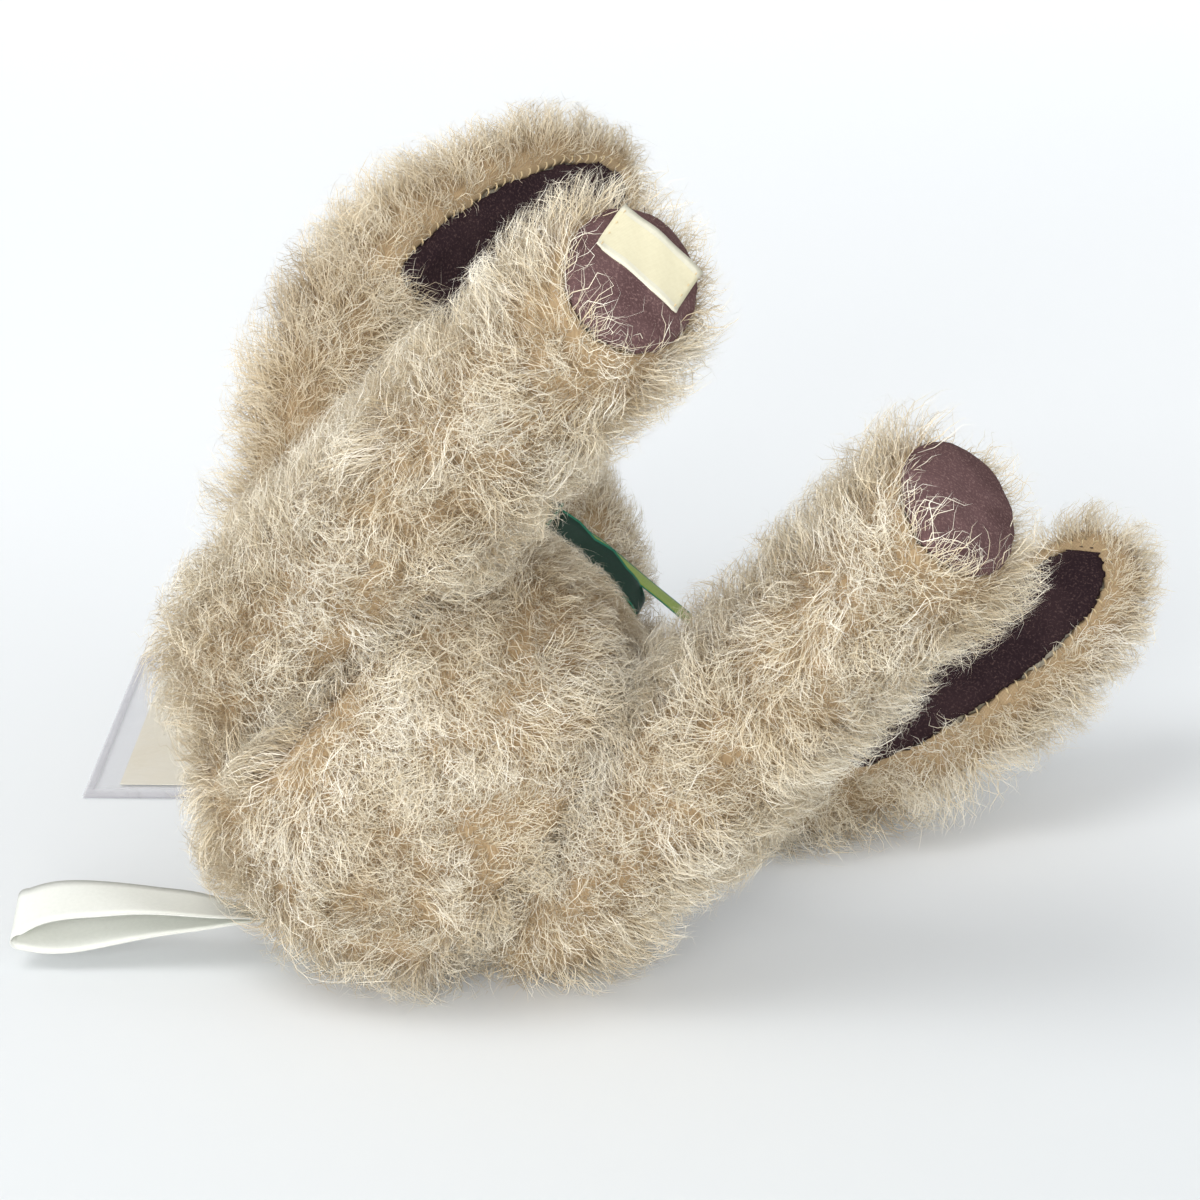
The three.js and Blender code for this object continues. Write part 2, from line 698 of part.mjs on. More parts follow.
const headDetail = { skullRings: 12, skullSides: 22, muzzleRings: 8, muzzleSides: 16 };
const headInnerDetail = { skullRings: 8, skullSides: 14, muzzleRings: 6, muzzleSides: 10 };

function headForm(wall, detail) {
  const skullRings = drawnIn(smoothRings(headStations, detail.skullRings), wall);
  const muzzleRings = drawnIn(smoothRings(muzzleStations, detail.muzzleRings), wall);
  return loft(skullRings, { sides: detail.skullSides })
    .add(loft(muzzleRings, { sides: detail.muzzleSides, place: forward }));
}

const faceForm = headForm(-gap, headDetail);

// A piece sewn on the face: the layer over the skin, inside a prism that looks forward
function sewnOn(outline, raise) {
  const prism = new THREE.ExtrudeGeometry(outline, { depth: muzzleReach, bevelEnabled: false });
  prism.rotateX(PI / 2).translate(0, -muzzleReach / 2, 0);
  return headForm(-gap - raise, headDetail).subtract(faceForm).intersect(solidOf(prism));
}

function eyePlace(side) {
  return new THREE.Vector3(side * eyeOut, -eyeFront, eyeUp);
}

function shankRod(side, radius) {
  const rod = new THREE.CylinderGeometry(radius, radius, shankLength, 8);
  const place = eyePlace(side);
  const middleY = place.y - eyeRadius / 2 + shankLength / 2;
  return solidOf(rod.rotateX(PI / 2).translate(place.x, middleY, place.z));
}

let headSkin = headForm(0, headDetail).subtract(headForm(skinWall, headInnerDetail)).subtract(pinHole);
let headStuffing = headForm(skinWall + gap, headInnerDetail).subtract(jointPocket(neckDiscRadius));
for (const side of [-1, 1]) {
  headSkin = headSkin.subtract(shankRod(side, shankRadius + gap));
  headStuffing = headStuffing.subtract(shankRod(side, shankRadius + gap));
}
addMesh(head, 'head_skin', headSkin.subtract(underFloor(head)), mohair);
addMesh(head, 'head_stuffing', headStuffing, filling);
addDiscJoint(head, 'neck', neckDiscRadius, 0);

for (const side of [-1, 1]) {
  const name = sideName(side);
  const ear = new THREE.SphereGeometry(1, 14, 8).scale(earRadius, earHalfThickness, earRadius);
  ear.rotateY(side * radians(earTilt)).translate(side * earOut, earBack, earUp);
  addMesh(head, `${name}_ear`, solidOf(ear).subtract(faceForm), mohair);
  const place = eyePlace(side);
  const ball = new THREE.SphereGeometry(eyeRadius, 12, 8).translate(place.x, place.y, place.z);
  const eye = solidOf(ball).subtract(faceForm).add(shankRod(side, shankRadius));
  addMesh(head, `${name}_eye`, eye, glass);
}

const noseOutline = new THREE.Shape([
  new THREE.Vector2(-noseHalfWidth, muzzleHeight + noseHeight),
  new THREE.Vector2(noseHalfWidth, muzzleHeight + noseHeight),
  new THREE.Vector2(noseHalfWidth * 0.85, muzzleHeight + noseHeight * 0.5),
  new THREE.Vector2(0, muzzleHeight),
  new THREE.Vector2(-noseHalfWidth * 0.85, muzzleHeight + noseHeight * 0.5),
]);
addMesh(head, 'nose_stitching', sewnOn(noseOutline, noseRaise), floss);

const mouthFork = muzzleHeight - mouthStem;
const mouthCorner = mouthFork - mouthFall;
const mouthRight = [
  [mouthLine / 2, muzzleHeight - gap],
  [mouthLine / 2, mouthFork],
  [mouthHalfWidth, mouthCorner],
  [mouthHalfWidth - 1, mouthCorner - mouthLine],
];
const mouthLeft = mouthRight.map(([x, z]) => [-x, z]).reverse();
const mouthOutline = new THREE.Shape(
  [...mouthRight, [0, mouthFork - mouthLine], ...mouthLeft].map(([x, z]) => new THREE.Vector2(x, z)),
);
addMesh(head, 'mouth_stitching', sewnOn(mouthOutline, mouthRaise), floss);

// Ribbon: a band round the neck, a knot in front, two loops and two tails, tied from one length

function stripSolid(centre, width, low) {
  const left = [];
  const right = [];
  centre.forEach((point, i) => {
    const before = centre[Math.max(i - 1, 0)];
    const after = centre[Math.min(i + 1, centre.length - 1)];
    const along = after.clone().sub(before).setLength(ribbonThickness / 2);
    const side = new THREE.Vector2(-along.y, along.x);
    left.push(point.clone().add(side));
    right.unshift(point.clone().sub(side));
  });
  const outline = new THREE.Shape([...left, ...right]);
  const strip = new THREE.ExtrudeGeometry(outline, { depth: width, bevelEnabled: false });
  return solidOf(strip.translate(0, 0, low));
}

const bandSides = 32;
const bandRadius = (collarRadius + gap) / Math.cos(PI / bandSides);
const knotFront = -bandRadius - ribbonThickness;
let ribbon = rodSolid(bandRadius + ribbonThickness, ribbonLow, ribbonTop, bandSides)
  .subtract(rodSolid(bandRadius, ribbonLow - 1, ribbonTop + 1, bandSides));
ribbon = ribbon.add(boxSolid(
  [-knotWidth / 2, knotFront - knotDepth, ribbonLow - 1],
  [knotWidth / 2, knotFront + ribbonThickness / 2, ribbonTop - ribbonThickness],
));
for (const side of [-1, 1]) {
  const loopLine = Array.from({ length: 11 }, (_, i) => {
    const angle = -PI + (i / 10) * 2 * PI;
    const out = (bowLoop / 2) * (1 + Math.cos(angle));
    const deep = (bowLoopDepth / 2) * Math.sin(angle) * Math.sin((angle + PI) / 2);
    return new THREE.Vector2(side * out, knotFront - bowStand + deep);
  });
  ribbon = ribbon.add(stripSolid(loopLine, ribbonWidth - 1, ribbonLow));
  const tailLine = [0, 0.35, 0.7, 1].map((share) => new THREE.Vector2(
    side * bowTail * share, knotFront - bowStand - tailBow * Math.sin(share * PI),
  ));
  ribbon = ribbon.add(stripSolid(tailLine, ribbonWidth - 1, ribbonLow - tailDroop));
}
addMesh(bear, 'neck_ribbon', ribbon, satin);

// The looped label leaves the back seam and lies on the floor

const seamPoint = new THREE.Vector3(0, bodyHalfDepth + bodyLean, seamLabelAlong);
scene.updateMatrixWorld(true);
bear.localToWorld(seamPoint);
const loopHigh = Array.from({ length: 9 }, (_, i) => {
  const share = i / 8;
  const rise = seamLabelBow * Math.sin(share * PI) + seamLoopHeight * share;
  return new THREE.Vector2(-share * seamLabelReach, seamLabelLift * (1 - share * share) + rise);
});
const loopEnd = new THREE.Vector2(-seamLabelReach - seamLoopHeight / 3, seamLoopHeight / 2);
const loopLow = Array.from({ length: 7 }, (_, i) => {
  const share = 1 - i / 6;
  const x = -share * (seamLabelReach - seamLoopHeight / 2);
  return new THREE.Vector2(x, seamLabelLift * (1 - share) ** 2 + 2 * ribbonThickness / 3 + gap);
});
const seamLine = [...loopHigh, loopEnd, ...loopLow];
const seamStrip = stripSolid(seamLine, seamLabelWidth, 0);
const upright = new THREE.Matrix4().makeRotationX(PI / 2)
  .setPosition(seamPoint.x + seamLabelInset, seamPoint.y + seamLabelWidth / 2, 0);
const bodyGuard = turned(bodyForm(bodyRings, -gap, bodySides), bear.matrixWorld);
const seamLabel = turned(seamStrip, upright).subtract(bodyGuard);
addMesh(scene, 'seam_label', seamLabel, tape);

// The tag sleeve lies flat behind the bear, with its card inside

const floorLift = 0.2;
const sleeveLow = [sleeveLeft, sleeveNear, floorLift];
const sleeveHigh = [sleeveLeft + sleeveWidth, sleeveNear + sleeveLength, floorLift + sleeveThickness];
const pouch = boxSolid(
  [sleeveLow[0] + sleeveSeam, sleeveLow[1] - 1, sleeveLow[2] + sleeveFilm],
  [sleeveHigh[0] - sleeveSeam, sleeveHigh[1] - sleeveSeam, sleeveHigh[2] - sleeveFilm],
);
addMesh(scene, 'tag_sleeve', boxSolid(sleeveLow, sleeveHigh).subtract(pouch), film);
const cardLow = sleeveLow[2] + sleeveFilm + gap;
addMesh(scene, 'tag_card', boxSolid(
  [sleeveLow[0] + cardMargin, sleeveLow[1] + cardMargin, cardLow],
  [sleeveHigh[0] - cardMargin, sleeveHigh[1] - sleeveSeam - gap, cardLow + cardThickness],
), card);

// The origin is on the floor, under the middle of the whole
scene.updateMatrixWorld(true);
const middle = new THREE.Box3().setFromObject(scene, true).getCenter(new THREE.Vector3());
scene.position.set(-middle.x, -middle.y, 0);

const part = new THREE.Group();
part.add(scene);
export default part;
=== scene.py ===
"""A jointed mohair teddy bear lying on its back and left side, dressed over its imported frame.

Everything is in metres, in the frame's own axes. The bear's own axes (its left, its back and its
crown) are read from the joints, so each piece is placed where the frame says.
"""

import json
import logging
import math
from dataclasses import dataclass, replace
from enum import Enum
from functools import cache
from typing import Callable, Iterable, Sequence

import bmesh
import bpy
import numpy as np
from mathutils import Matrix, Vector
from mathutils.bvhtree import BVHTree
from mathutils.kdtree import KDTree


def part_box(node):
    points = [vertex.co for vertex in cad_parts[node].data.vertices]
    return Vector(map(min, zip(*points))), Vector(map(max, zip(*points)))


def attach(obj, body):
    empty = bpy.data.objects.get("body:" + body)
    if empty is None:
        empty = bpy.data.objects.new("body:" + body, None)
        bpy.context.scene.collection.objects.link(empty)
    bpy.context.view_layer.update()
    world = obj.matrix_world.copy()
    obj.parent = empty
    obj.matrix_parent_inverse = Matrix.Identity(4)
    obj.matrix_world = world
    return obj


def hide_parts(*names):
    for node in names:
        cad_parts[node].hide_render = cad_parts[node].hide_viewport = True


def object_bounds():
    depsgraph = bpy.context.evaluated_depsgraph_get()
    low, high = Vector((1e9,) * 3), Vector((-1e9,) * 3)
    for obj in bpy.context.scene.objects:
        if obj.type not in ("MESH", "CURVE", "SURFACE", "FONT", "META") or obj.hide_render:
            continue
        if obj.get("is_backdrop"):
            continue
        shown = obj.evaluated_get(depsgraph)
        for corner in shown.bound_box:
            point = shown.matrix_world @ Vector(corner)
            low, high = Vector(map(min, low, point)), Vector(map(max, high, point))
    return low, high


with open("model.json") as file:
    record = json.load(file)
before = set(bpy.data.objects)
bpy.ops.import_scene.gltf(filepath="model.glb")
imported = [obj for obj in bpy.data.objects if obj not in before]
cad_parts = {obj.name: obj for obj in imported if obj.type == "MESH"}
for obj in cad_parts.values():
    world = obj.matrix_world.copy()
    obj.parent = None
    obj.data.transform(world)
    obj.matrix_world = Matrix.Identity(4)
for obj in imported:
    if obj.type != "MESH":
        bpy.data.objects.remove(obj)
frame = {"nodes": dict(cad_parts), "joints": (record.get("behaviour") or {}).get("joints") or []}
log = logging.getLogger("teddy_bear")

STRAND_UV = "OFBake"
CLOTH_UV = "Cloth"
MERGE_WITHIN = 0.00002
Colour = tuple[float, float, float, float]
Points = np.ndarray
Piece = bpy.types.Object
Socket = bpy.types.NodeSocket


class Side(Enum):
    """One of the bear's own sides."""

    LEFT = "left"
    RIGHT = "right"


class Limb(Enum):
    """The limbs, with the words their nodes use for the limb, its joint and its felt pad."""

    ARM = ("arm", "shoulder", "paw_pad")
    LEG = ("leg", "hip", "foot_pad")

    def __init__(self, word: str, joint: str, pad: str) -> None:
        """Takes the three words."""
        self.word = word
        self.joint = joint
        self.pad = pad


def srgb(*seen: int) -> Colour:
    """Turns a colour as seen, its red, green and blue from 0 to 255, into what a shader takes.

    Args:
        *seen: the three values.

    Returns:
        The linear, solid colour.
    """
    shares = [value / 255 for value in seen]
    linear = [share / 12.92 if share <= 0.04045 else ((share + 0.055) / 1.055) ** 2.4 for share in shares]
    return (*linear, 1.0)


def darkened_as_shade(colour: Colour, share: float) -> Colour:
    """A solid colour darkened to a share of its light, as painted shade."""
    return (*(share * value for value in colour[:3]), 1.0)


# Mesh tools


def deselect_all() -> None:
    """Leaves nothing selected, because an operator acts on all that is."""
    for each in list(bpy.context.selected_objects):
        each.select_set(False)


def make_active(piece: Piece) -> None:
    """Selects one piece alone and makes it the active one."""
    deselect_all()
    piece.select_set(True)
    bpy.context.view_layer.objects.active = piece


def finish_with(piece: Piece, kind: str, **settings: object) -> None:
    """Adds a modifier to a piece and applies it.

    Args:
        piece: the piece to change.
        kind: the modifier's type, such as REMESH.
        **settings: the modifier's own settings.
    """
    make_active(piece)
    modifier = piece.modifiers.new(kind.title(), kind)
    for key, value in settings.items():
        setattr(modifier, key, value)
    bpy.ops.object.modifier_apply(modifier=modifier.name)


def linked(name: str, data: bpy.types.ID) -> Piece:
    """Makes an object of some data and links it into the scene."""
    made = bpy.data.objects.new(name, data)
    bpy.context.scene.collection.objects.link(made)
    return made


def new_piece(name: str, vertices: Iterable, faces: Iterable) -> Piece:
    """Makes a piece from points and the corners of its faces, at the origin."""
    mesh = bpy.data.meshes.new(name)
    mesh.from_pydata([tuple(v) for v in vertices], [], [tuple(f) for f in faces])
    mesh.update()
    return linked(name, mesh)


def grid_piece(
    name: str, columns: int, rows: int, at: Callable[[int, int], tuple[Vector, tuple]], uv_map: str,
) -> Piece:
    """Makes a sheet of square faces with a map.

    Args:
        name: the piece's name.
        columns: how many faces lie side by side.
        rows: how many lie one behind the other.
        at: gives the point at a column and a row, and its place in the map.
        uv_map: the map's name.

    Returns:
        The open sheet.
    """
    vertices, places = zip(*(at(i, j) for j in range(rows + 1) for i in range(columns + 1)))
    row = columns + 1
    faces = []
    for start in range(0, rows * row, row):
        for i in range(start, start + columns):
            faces.append((i, i + 1, i + row + 1, i + row))
    piece = new_piece(name, vertices, faces)
    layer = piece.data.uv_layers.new(name=uv_map)
    for loop in piece.data.loops:
        layer.data[loop.index].uv = places[loop.vertex_index]
    return piece


def copy_of_node(node: str, name: str) -> Piece:
    """Copies a frame node's mesh into a piece of its own, with its doubled points merged."""
    mesh = frame["nodes"][node].data.copy()
    mesh.materials.clear()
    piece = linked(name, mesh)
    make_active(piece)
    bpy.ops.object.mode_set(mode="EDIT")
    bpy.ops.mesh.select_all(action="SELECT")
    bpy.ops.mesh.remove_doubles(threshold=MERGE_WITHIN)
    bpy.ops.object.mode_set(mode="OBJECT")
    return piece


def softened_copy(node: str, name: str, voxel: float, rounds: int) -> Piece:
    """Copies a node as one even, rounded mesh, as sewn and stuffed cloth is.

    Args:
        node: the frame node.
        name: the new piece's name.
        voxel: the size of its faces.
        rounds: how often it is smoothed.

    Returns:
        The new piece.
    """
    piece = copy_of_node(node, name)
    finish_with(piece, "REMESH", mode="VOXEL", voxel_size=voxel)
    finish_with(piece, "SMOOTH", factor=0.5, iterations=rounds)
    shade_smooth(piece)
    return piece


def shade_smooth(piece: Piece) -> None:
    """Shades every face of a piece smooth."""
    make_active(piece)
    bpy.ops.object.shade_smooth()


def joined(name: str, pieces: Sequence[Piece], smooth: bool = True) -> Piece:
    """Joins loose shapes into one piece, shaded smooth or flat."""
    make_active(pieces[0])
    for each in pieces:
        each.select_set(True)
    if len(pieces) > 1:
        bpy.ops.object.join()
    pieces[0].name = name
    if smooth:
        shade_smooth(pieces[0])
    return pieces[0]


def mesh_arrays(piece: Piece) -> tuple[Points, Points, np.ndarray]:
    """Reads a mesh as arrays.

    Args:
        piece: a mesh object at the origin.

    Returns:
        Its points, its points' normals, and the corners of its triangles.
    """
    mesh = piece.data
    mesh.calc_loop_triangles()
    count = len(mesh.vertices)
    points = np.zeros(count * 3)
    normals = np.zeros(count * 3)
    corners = np.zeros(len(mesh.loop_triangles) * 3, np.int32)
    mesh.vertices.foreach_get("co", points)
    mesh.vertex_normals.foreach_get("vector", normals)
    mesh.loop_triangles.foreach_get("vertices", corners)
    return points.reshape(-1, 3), normals.reshape(-1, 3), corners.reshape(-1, 3)


def surface_of(names: Sequence[str], *pieces: Piece) -> BVHTree:
    """A search tree over the triangles of some frame nodes, and of other pieces."""
    vertices: list[tuple] = []
    faces: list[tuple] = []
    for piece in [*(frame["nodes"][name] for name in names), *pieces]:
        points, _, corners = mesh_arrays(piece)
        start = len(vertices)
        vertices += [tuple(p) for p in points]
        faces += [tuple(int(c) + start for c in corner) for corner in corners]
    return BVHTree.FromPolygons(vertices, faces)


def middle_of(node: str) -> Vector:
    """The middle of a frame node's box."""
    low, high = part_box(node)
    return (low + high) / 2


def unit(vectors: Points) -> Points:
    """Scales each vector of an array to length one."""
    return vectors / np.maximum(np.linalg.norm(vectors, axis=-1, keepdims=True), 1e-9)


def ripples(points: Points, size: float, seed: int) -> np.ndarray:
    """A smooth random field, about -1 to 1, whose patches are about size across.

    Args:
        points: where it is read.
        size: the patches' width.
        seed: which field.

    Returns:
        One value per point.
    """
    rng = np.random.default_rng(seed)
    total = np.zeros(len(points))
    waves = 7
    for _ in range(waves):
        way = unit(rng.normal(size=(1, 3)))[0]
        total += np.sin(points @ way * (math.pi / size) * rng.uniform(0.6, 1.5) + rng.uniform(0, 6.28))
    return total / math.sqrt(waves)


# The bear's own axes


@dataclass(frozen=True)
class BearAxes:
    """Where the bear lies: the point midway between its hips, and its own three directions."""

    origin: Vector
    left: Vector
    back: Vector
    crown: Vector

    @classmethod
    def from_joints(cls, joints: Sequence[dict]) -> "BearAxes":
        """Reads the axes from the hips and the neck.

        Args:
            joints: the frame's joints.

        Returns:
            The bear's axes.
        """
        found = {joint["name"]: joint for joint in joints}
        left_hip = found["left_hip_turn"]
        crown = Vector(found["neck_turn"]["axis"]).normalized()
        left = Vector(left_hip["axis"]).normalized()
        origin = (Vector(left_hip["pos_m"]) + Vector(found["right_hip_turn"]["pos_m"])) / 2
        return cls(origin, left, crown.cross(left), crown)


AXES = BearAxes.from_joints(frame["joints"])
JOINT_AT = {joint["name"]: Vector(joint["pos_m"]) for joint in frame["joints"]}


# Shader parts


class Wiring:
    """Adds nodes to a shader tree and joins them."""

    def __init__(self, tree: bpy.types.NodeTree) -> None:
        """Takes the tree that the nodes go to."""
        self.tree = tree

    def give(self, node: bpy.types.Node, inputs: dict) -> None:
        """Gives some of a node's inputs, by name or place, a value or another node's socket."""
        for key, value in inputs.items():
            socket = node.inputs[key]
            if isinstance(value, Socket):
                self.tree.links.new(value, socket)
            else:
                socket.default_value = value

    def shade(self, inputs: dict) -> None:
        """Gives some of the material's own inputs a value or a socket."""
        self.give(self.tree.nodes["Principled BSDF"], inputs)

    def add(self, kind: str, inputs: dict | None = None, **settings: object) -> bpy.types.Node:
        """Adds one node.

        Args:
            kind: the node's type.
            inputs: what its inputs are given.
            **settings: the node's own settings.

        Returns:
            The node.
        """
        node = self.tree.nodes.new(kind)
        for key, value in settings.items():
            setattr(node, key, value)
        self.give(node, inputs or {})
        return node

    def place(self, uv_map: str | None = None) -> Socket:
        """The place on the piece's map of that name or, without one, along its axes."""
        if uv_map:
            return self.add("ShaderNodeUVMap", uv_map=uv_map).outputs[0]
        return self.add("ShaderNodeTexCoord").outputs["Object"]

    def parts(self, place: Socket) -> Sequence[Socket]:
        """Splits a place into its three parts."""
        return self.add("ShaderNodeSeparateXYZ", {0: place}).outputs

    def noise(self, place: object, scale: object, detail: float, **more: float) -> Socket:
        """Adds a noise pattern and gives its height."""
        inputs = {"Vector": place, "Scale": scale, "Detail": detail, **more}
        return self.add("ShaderNodeTexNoise", inputs).outputs[0]

    def ramp(self, factor: Socket, stops: Sequence[tuple]) -> Socket:
        """Adds a colour ramp.

        Args:
            factor: what it reads.
            stops: a place and a colour for each stop.

        Returns:
            Its colour.
        """
        node = self.add("ShaderNodeValToRGB", {0: factor})
        elements = node.color_ramp.elements
        while len(elements) < len(stops):
            elements.new(0.5)
        for element, (place, colour) in zip(elements, stops):
            element.position = place
            element.color = colour
        return node.outputs[0]

    def maths(self, operation: str, *values: object) -> Socket:
        """Adds one sum and gives its result."""
        return self.add("ShaderNodeMath", dict(enumerate(values)), operation=operation).outputs[0]

    def mix(self, factor: object, first: object, second: object) -> Socket:
        """Mixes two colours."""
        return self.add("ShaderNodeMix", {0: factor, 6: first, 7: second}, data_type="RGBA").outputs[2]

    def bump(self, height: Socket, depth: float, strength: float) -> None:
        """Raises the material's surface by a height map.

        Args:
            height: the map.
            depth: how deep it is, in metres.
            strength: how strongly it shows.
        """
        inputs = {"Height": height, "Distance": depth, "Strength": strength}
        self.shade({"Normal": self.add("ShaderNodeBump", inputs).outputs[0]})


def new_group(name: str, inputs: dict[str, str], outputs: dict[str, str]) -> bpy.types.NodeTree:
    """Makes an empty shader group with named sockets.

    Args:
        name: the group's name.
        inputs: each input's name and socket type.
        outputs: each output's name and socket type.

    Returns:
        The group's tree.
    """
    tree = bpy.data.node_groups.new(name, "ShaderNodeTree")
    for in_out, sockets in (("INPUT", inputs), ("OUTPUT", outputs)):
        for socket, kind in sockets.items():
            tree.interface.new_socket(socket, in_out=in_out, socket_type=kind)
    return tree


VECTOR = "NodeSocketVector"
FLOAT = "NodeSocketFloat"
COLOUR = "NodeSocketColor"
BLACK = (0, 0, 0, 1)
WHITE = (1, 1, 1, 1)


@cache
def matted_fibres() -> bpy.types.NodeTree:
    """The shader group of matted fibres: fine specks over a slow change of tone."""
    tree = new_group(
        "matted_fibres",
        {"Vector": VECTOR, "Per metre": FLOAT, "Ground": COLOUR, "Speck": COLOUR, "Worn": COLOUR},
        {"Color": COLOUR, "Height": FLOAT},
    )
    wiring = Wiring(tree)
    given = wiring.add("NodeGroupInput").outputs
    per_metre = given["Per metre"]
    fine = wiring.noise(given["Vector"], per_metre, 3.0, Roughness=0.7)
    slow = wiring.noise(given["Vector"], wiring.maths("MULTIPLY", per_metre, 0.045), 4.0)
    specks = wiring.ramp(fine, [(0.52, BLACK), (0.72, WHITE)])
    patches = wiring.ramp(slow, [(0.42, BLACK), (0.66, WHITE)])
    ground = wiring.mix(patches, given["Ground"], given["Worn"])
    colour = wiring.mix(specks, ground, given["Speck"])
    wiring.add("NodeGroupOutput", {"Color": colour, "Height": fine})
    return tree


@cache
def plain_weave() -> bpy.types.NodeTree:
    """The shader group of plain woven threads, over and under: its Shade is uneven threads mixed with
    painted shade where the threads dip under.
    """
    given = {"Vector": VECTOR, "Per metre": FLOAT}
    tree = new_group("plain_weave", given, {"Shade": FLOAT, "Height": FLOAT})
    wiring = Wiring(tree)
    given = wiring.add("NodeGroupInput").outputs
    sizes = {0: given["Vector"], 3: given["Per metre"]}
    scaled = wiring.add("ShaderNodeVectorMath", sizes, operation="SCALE").outputs[0]
    turns = [wiring.maths("MULTIPLY", part, math.tau) for part in wiring.parts(scaled)[:2]]
    across, along = (wiring.maths("SINE", turn) for turn in turns)
    height = wiring.maths("MULTIPLY_ADD", wiring.maths("MULTIPLY", across, along), 0.5, 0.5)
    uneven = wiring.noise(scaled, 0.35, 2.0)
    # Painted shade: the low places of the weave are darker, mixed with uneven threads.
    shade = wiring.maths("MULTIPLY_ADD", uneven, 0.5, wiring.maths("MULTIPLY", height, 0.5))
    wiring.add("NodeGroupOutput", {"Shade": shade, "Height": height})
    return tree


@dataclass(frozen=True)
class Finish:
    """What every finish shares: its name and its plain surface values."""

    name: str
    roughness: float = 0.9
    metallic: float = 0.0
    sheen: float = 0.0
    specular: float = 0.5

    @cache
    def material(self) -> bpy.types.Material:
        """Gives the finish's material, made at its first use."""
        made = bpy.data.materials.new(self.name)
        made.use_nodes = True
        wiring = Wiring(made.node_tree)
        wiring.shade({
            "Roughness": self.roughness, "Metallic": self.metallic,
            "Sheen Weight": self.sheen, "Specular IOR Level": self.specular,
        })
        self.wire(wiring)
        return made

    def wire(self, wiring: Wiring) -> None:
        """Adds the finish's own nodes; each finish has its own."""
        raise NotImplementedError

    def dress(self, piece: Piece, slot: str, body: str | None = None, node: str | None = None) -> None:
        """Gives a piece this finish alone, hides the frame node that it replaces, and hangs it on its
        body.

        Args:
            piece: the piece.
            slot: the record's slot that it stands for; not used.
            body: the body that it rides on; a frame node rides on its own.
            node: the frame node that it takes the place of.
        """
        piece.data.materials.clear()
        piece.data.materials.append(self.material())
        if node:
            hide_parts(node)
        if body:
            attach(piece, body)


@dataclass(frozen=True)
class MohairStrands(Finish):
    """Mohair, read along each strand: darker at the root as painted shade between the strands, paler at
    the tip partly by its own colour and partly as painted light through the fringe, each a little
    different, the brightest as painted glints.
    """

    # Painted shade: root is the dark between the strands. The tip is paler partly by its own colour and
    # partly as painted light through the fringe.
    root: Colour = srgb(150, 124, 90)
    middle: Colour = srgb(218, 202, 170)
    tip: Colour = srgb(241, 234, 215)
    dark: Colour = srgb(186, 160, 122)
    # Painted glints: bright is the colour of the brightest strands.
    bright: Colour = srgb(255, 252, 244)

    def wire(self, wiring: Wiring) -> None:
        """Colours a strand by its length and its own tone, with painted shade at the root, a tip paler
        partly as painted light, and painted glints on the brightest strands.
        """
        parts = wiring.parts(wiring.place(STRAND_UV))
        # Painted shade at the root; the tip is paler partly as painted light.
        along = wiring.ramp(parts[1], [(0.0, self.root), (0.38, self.middle), (0.95, self.tip)])
        grey = [(0.0, (0.42, 0.42, 0.42, 1)), (0.5, BLACK), (1.0, BLACK)]
        light = [(0.0, BLACK), (0.5, BLACK), (1.0, (0.62, 0.62, 0.62, 1))]
        darker = wiring.mix(wiring.ramp(parts[0], grey), along, self.dark)
        # Painted glints: the brightest tones turn towards bright.
        both = wiring.mix(wiring.ramp(parts[0], light), darker, self.bright)
        wiring.shade({"Base Color": both})


@dataclass(frozen=True)
class MattedFibres(Finish):
    """Felt, filling or pressed board: matted fibres with specks and paler, rubbed patches."""

    ground: Colour = srgb(92, 69, 69)
    speck: Colour = srgb(148, 120, 116)
    worn: Colour = srgb(108, 83, 83)
    per_metre: float = 1300.0
    depth: float = 0.0003
    strength: float = 0.5

    def wire(self, wiring: Wiring) -> None:
        """Colours and raises the surface by the shared fibres."""
        fibres = wiring.add("ShaderNodeGroup", {
            "Vector": wiring.place(), "Per metre": self.per_metre,
            "Ground": self.ground, "Speck": self.speck, "Worn": self.worn,
        }, node_tree=matted_fibres()).outputs
        wiring.shade({"Base Color": fibres["Color"]})
        wiring.bump(fibres["Height"], self.depth, self.strength)


REVERSE_FROM = 1.0


@dataclass(frozen=True)
class WovenCloth(Finish):
    """Woven cloth, whose threads follow the piece's own map or, without one, its axes."""

    thread: Colour = srgb(236, 232, 214)
    # The thread's colour in painted shade, for the weave's low places.
    shade: Colour = srgb(200, 192, 168)
    edge: Colour | None = None
    edge_share: float = 0.1
    reverse: Colour | None = None
    per_metre: float = 1600.0
    depth: float = 0.00012
    uv_map: str | None = None

    def wire(self, wiring: Wiring) -> None:
        """Colours the threads, with painted shade in the weave's low places and a woven edge of another
        colour where there is one; the reverse and the edge each take a darker copy of their own colour
        there as painted shade.
        """
        place = wiring.place(self.uv_map)
        given = {"Vector": place, "Per metre": self.per_metre}
        weave = wiring.add("ShaderNodeGroup", given, node_tree=plain_weave()).outputs
        shade = weave["Shade"]
        # Painted shade: the thread's darker copy where the weave dips.
        colour = wiring.mix(shade, self.shade, self.thread)
        if self.reverse and self.uv_map:
            turned = wiring.maths("GREATER_THAN", wiring.parts(place)[1], REVERSE_FROM * 0.9)
            # Painted shade: a darker copy of the reverse in the weave's low places.
            reverse = wiring.mix(shade, darkened_as_shade(self.reverse, 0.62), self.reverse)
            colour = wiring.mix(turned, colour, reverse)
        if self.edge and self.uv_map:
            from_middle = wiring.maths("ABSOLUTE", wiring.parts(place)[0])
            beyond = wiring.maths("GREATER_THAN", from_middle, self.edge_share)
            # Painted shade: a darker copy of the edge in the weave's low places.
            colour = wiring.mix(beyond, colour, wiring.mix(shade, darkened_as_shade(self.edge, 0.7), self.edge))
        wiring.shade({"Base Color": colour})
        wiring.bump(weave["Height"], self.depth, 0.4)


